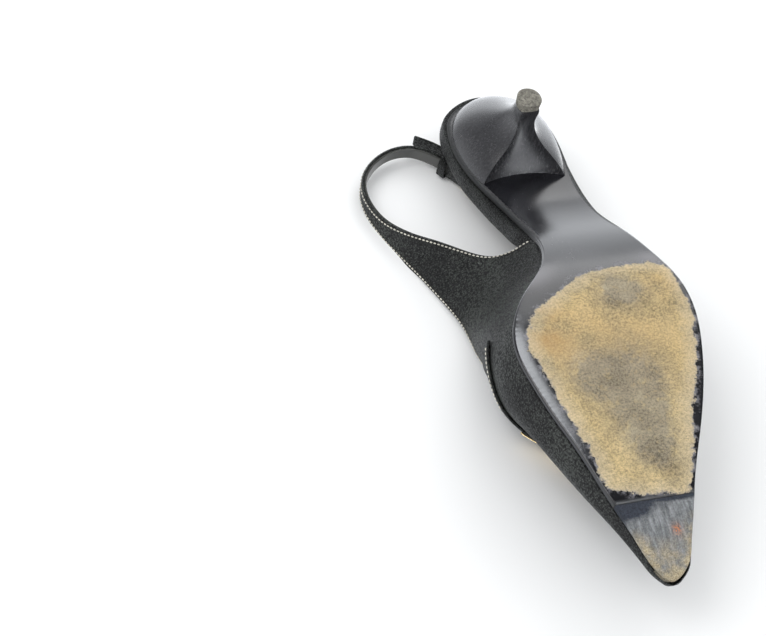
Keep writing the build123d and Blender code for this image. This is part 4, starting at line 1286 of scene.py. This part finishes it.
class PUMP_OT_stage(bpy.types.Operator):
    """Pale floor, pale table over the upturned shoe, soft light and camera"""

    bl_idname = "pump.stage"
    bl_label = "Stage"

    def execute(self, context):
        scene = context.scene
        scene.view_settings.view_transform = "Standard"
        self.room(scene)
        sheet = self.paper()
        # the table leans with the upturned shoe, just clear of its top edge
        wide, level, slope = 3.0, 0.0590, 0.1
        near, far = level - slope * wide, level + slope * wide
        for name, z_near, z_far, order in (("floor", 0.0, 0.0, (0, 1, 2, 3)),
                                           ("table", near, far, (3, 2, 1, 0))):
            corners = [(-wide, -wide, z_near), (wide, -wide, z_near), (wide, wide, z_far),
                       (-wide, wide, z_far)]
            mesh = bpy.data.meshes.new(name)
            mesh.from_pydata(corners, [], [order])
            mesh.materials.append(sheet)
            ground = bpy.data.objects.new(name, mesh)
            scene.collection.objects.link(ground)
        self.lamps(scene)
        self.camera(scene)
        return {"FINISHED"}

    def room(self, scene):
        """Even pale light, and for reflections only a dim room with a few soft glows."""
        world = bpy.data.worlds.new("soft_room")
        scene.world = world
        world.use_nodes = True
        nodes, links = world.node_tree.nodes, world.node_tree.links
        even = nodes["Background"]
        even.inputs[0].default_value = (0.965, 0.975, 0.98, 1)
        even.inputs[1].default_value = 0.92
        direction = nodes.new("ShaderNodeTexCoord").outputs["Generated"]

        def glow(towards, inner, outer, amount):
            """Soft round light in one direction: full inside one cosine, gone past another."""
            near = nodes.new("ShaderNodeVectorMath")
            near.operation = "DOT_PRODUCT"
            near.inputs[1].default_value = Vector(towards).normalized()
            links.new(direction, near.inputs[0])
            fit = nodes.new("ShaderNodeMapRange")
            fit.interpolation_type = "SMOOTHSTEP"
            for key, value in (("From Min", outer), ("From Max", inner), ("To Min", 0.0),
                               ("To Max", amount)):
                fit.inputs[key].default_value = value
            links.new(near.outputs["Value"], fit.inputs["Value"])
            return fit.outputs[0]

        total = glow(*GLOWS[0])
        for spec in GLOWS[1:]:
            plus = nodes.new("ShaderNodeMath")
            links.new(total, plus.inputs[0])
            links.new(glow(*spec), plus.inputs[1])
            total = plus.outputs[0]
        dim = nodes.new("ShaderNodeMath")
        dim.inputs[1].default_value = 0.12
        links.new(total, dim.inputs[0])
        gloss = nodes.new("ShaderNodeBackground")
        gloss.inputs[0].default_value = (0.93, 0.96, 1.0, 1)
        links.new(dim.outputs[0], gloss.inputs[1])
        mix = nodes.new("ShaderNodeMixShader")
        links.new(nodes.new("ShaderNodeLightPath").outputs["Is Glossy Ray"], mix.inputs[0])
        links.new(even.outputs[0], mix.inputs[1])
        links.new(gloss.outputs[0], mix.inputs[2])
        links.new(mix.outputs[0], nodes["World Output"].inputs[0])

    def paper(self):
        """Pale paper that shows on its front only, and is clear to every ray but the camera's."""
        sheet = bpy.data.materials.new("pale_paper")
        sheet.use_nodes = True
        nodes, links = sheet.node_tree.nodes, sheet.node_tree.links
        paper = nodes["Principled BSDF"]
        paper.inputs["Base Color"].default_value = (0.93, 0.935, 0.94, 1)
        paper.inputs["Roughness"].default_value = 0.9
        paper.inputs["Specular IOR Level"].default_value = 0.1
        seen = nodes.new("ShaderNodeMath")
        seen.operation = "SUBTRACT"
        seen.use_clamp = True
        links.new(nodes.new("ShaderNodeLightPath").outputs["Is Camera Ray"], seen.inputs[0])
        links.new(nodes.new("ShaderNodeNewGeometry").outputs["Backfacing"], seen.inputs[1])
        join = nodes.new("ShaderNodeMixShader")
        links.new(seen.outputs[0], join.inputs[0])
        links.new(nodes.new("ShaderNodeBsdfTransparent").outputs[0], join.inputs[1])
        links.new(paper.outputs[0], join.inputs[2])
        links.new(join.outputs[0], nodes["Material Output"].inputs[0])
        return sheet

    def lamps(self, scene):
        """Four soft square lamps round the shoe, turned to its middle."""
        low, high = (Vector(corner) for corner in CAD_BOX)
        centre = (low + high) / 2
        for name, offset, size, watts in LAMPS:
            lamp = bpy.data.lights.new(name, "AREA")
            lamp.shape = "RECTANGLE"
            lamp.size, lamp.size_y = size, size
            lamp.energy = watts * sizes().lamp
            thing = bpy.data.objects.new(name, lamp)
            thing.location = centre + Vector(offset)
            thing.rotation_euler = (-Vector(offset)).to_track_quat("-Z", "Y").to_euler()
            scene.collection.objects.link(thing)

    def camera(self, scene):
        """Camera below the shoe's toe, looking up at the sole with the heel at the top."""
        lens = bpy.data.cameras.new("camera")
        lens.sensor_fit = "HORIZONTAL"
        lens.sensor_width = 36.0
        lens.lens = 94.19
        lens.clip_start = 0.05
        camera = bpy.data.objects.new("camera", lens)
        right = Vector((-0.9479, -0.2700, -0.1689)).normalized()
        ahead = Vector((-0.2931, 0.5321, 0.7944)).normalized()
        up = right.cross(ahead)
        turn = Matrix((right, up, -ahead)).transposed().to_4x4()
        camera.matrix_world = Matrix.Translation((0.3066, -0.4896, -0.5854)) @ turn
        scene.collection.objects.link(camera)
        scene.camera = camera


STEPS = (
    PUMP_OT_materials, PUMP_OT_sole, PUMP_OT_upper, PUMP_OT_linings, PUMP_OT_seat,
    PUMP_OT_ornament, PUMP_OT_stitching, PUMP_OT_heel, PUMP_OT_buckle, PUMP_OT_stage,
)


class PUMP_PT_panel(bpy.types.Panel):
    """Sidebar list of the pump's pieces and settings"""

    bl_label = "Slingback pump"
    bl_idname = "PUMP_PT_panel"
    bl_space_type = "VIEW_3D"
    bl_region_type = "UI"
    bl_category = "Pump"

    def draw(self, context):
        for group in (context.scene.pump_colours, context.scene.pump_sizes):
            for key in group.__annotations__:
                self.layout.prop(group, key)
        for step in STEPS:
            self.layout.operator(step.bl_idname)


CLASSES = (PumpColours, PumpSizes, *STEPS, PUMP_PT_panel)


def register():
    for cls in CLASSES:
        bpy.utils.register_class(cls)
    bpy.types.Scene.pump_colours = PointerProperty(type=PumpColours)
    bpy.types.Scene.pump_sizes = PointerProperty(type=PumpSizes)


def unregister():
    del bpy.types.Scene.pump_colours
    del bpy.types.Scene.pump_sizes
    for cls in reversed(CLASSES):
        bpy.utils.unregister_class(cls)


def main():
    """Run every step in order."""
    register()
    for step in STEPS:
        group, _, call = step.bl_idname.partition(".")
        getattr(getattr(bpy.ops, group), call)()


if __name__ == "__main__":
    main()
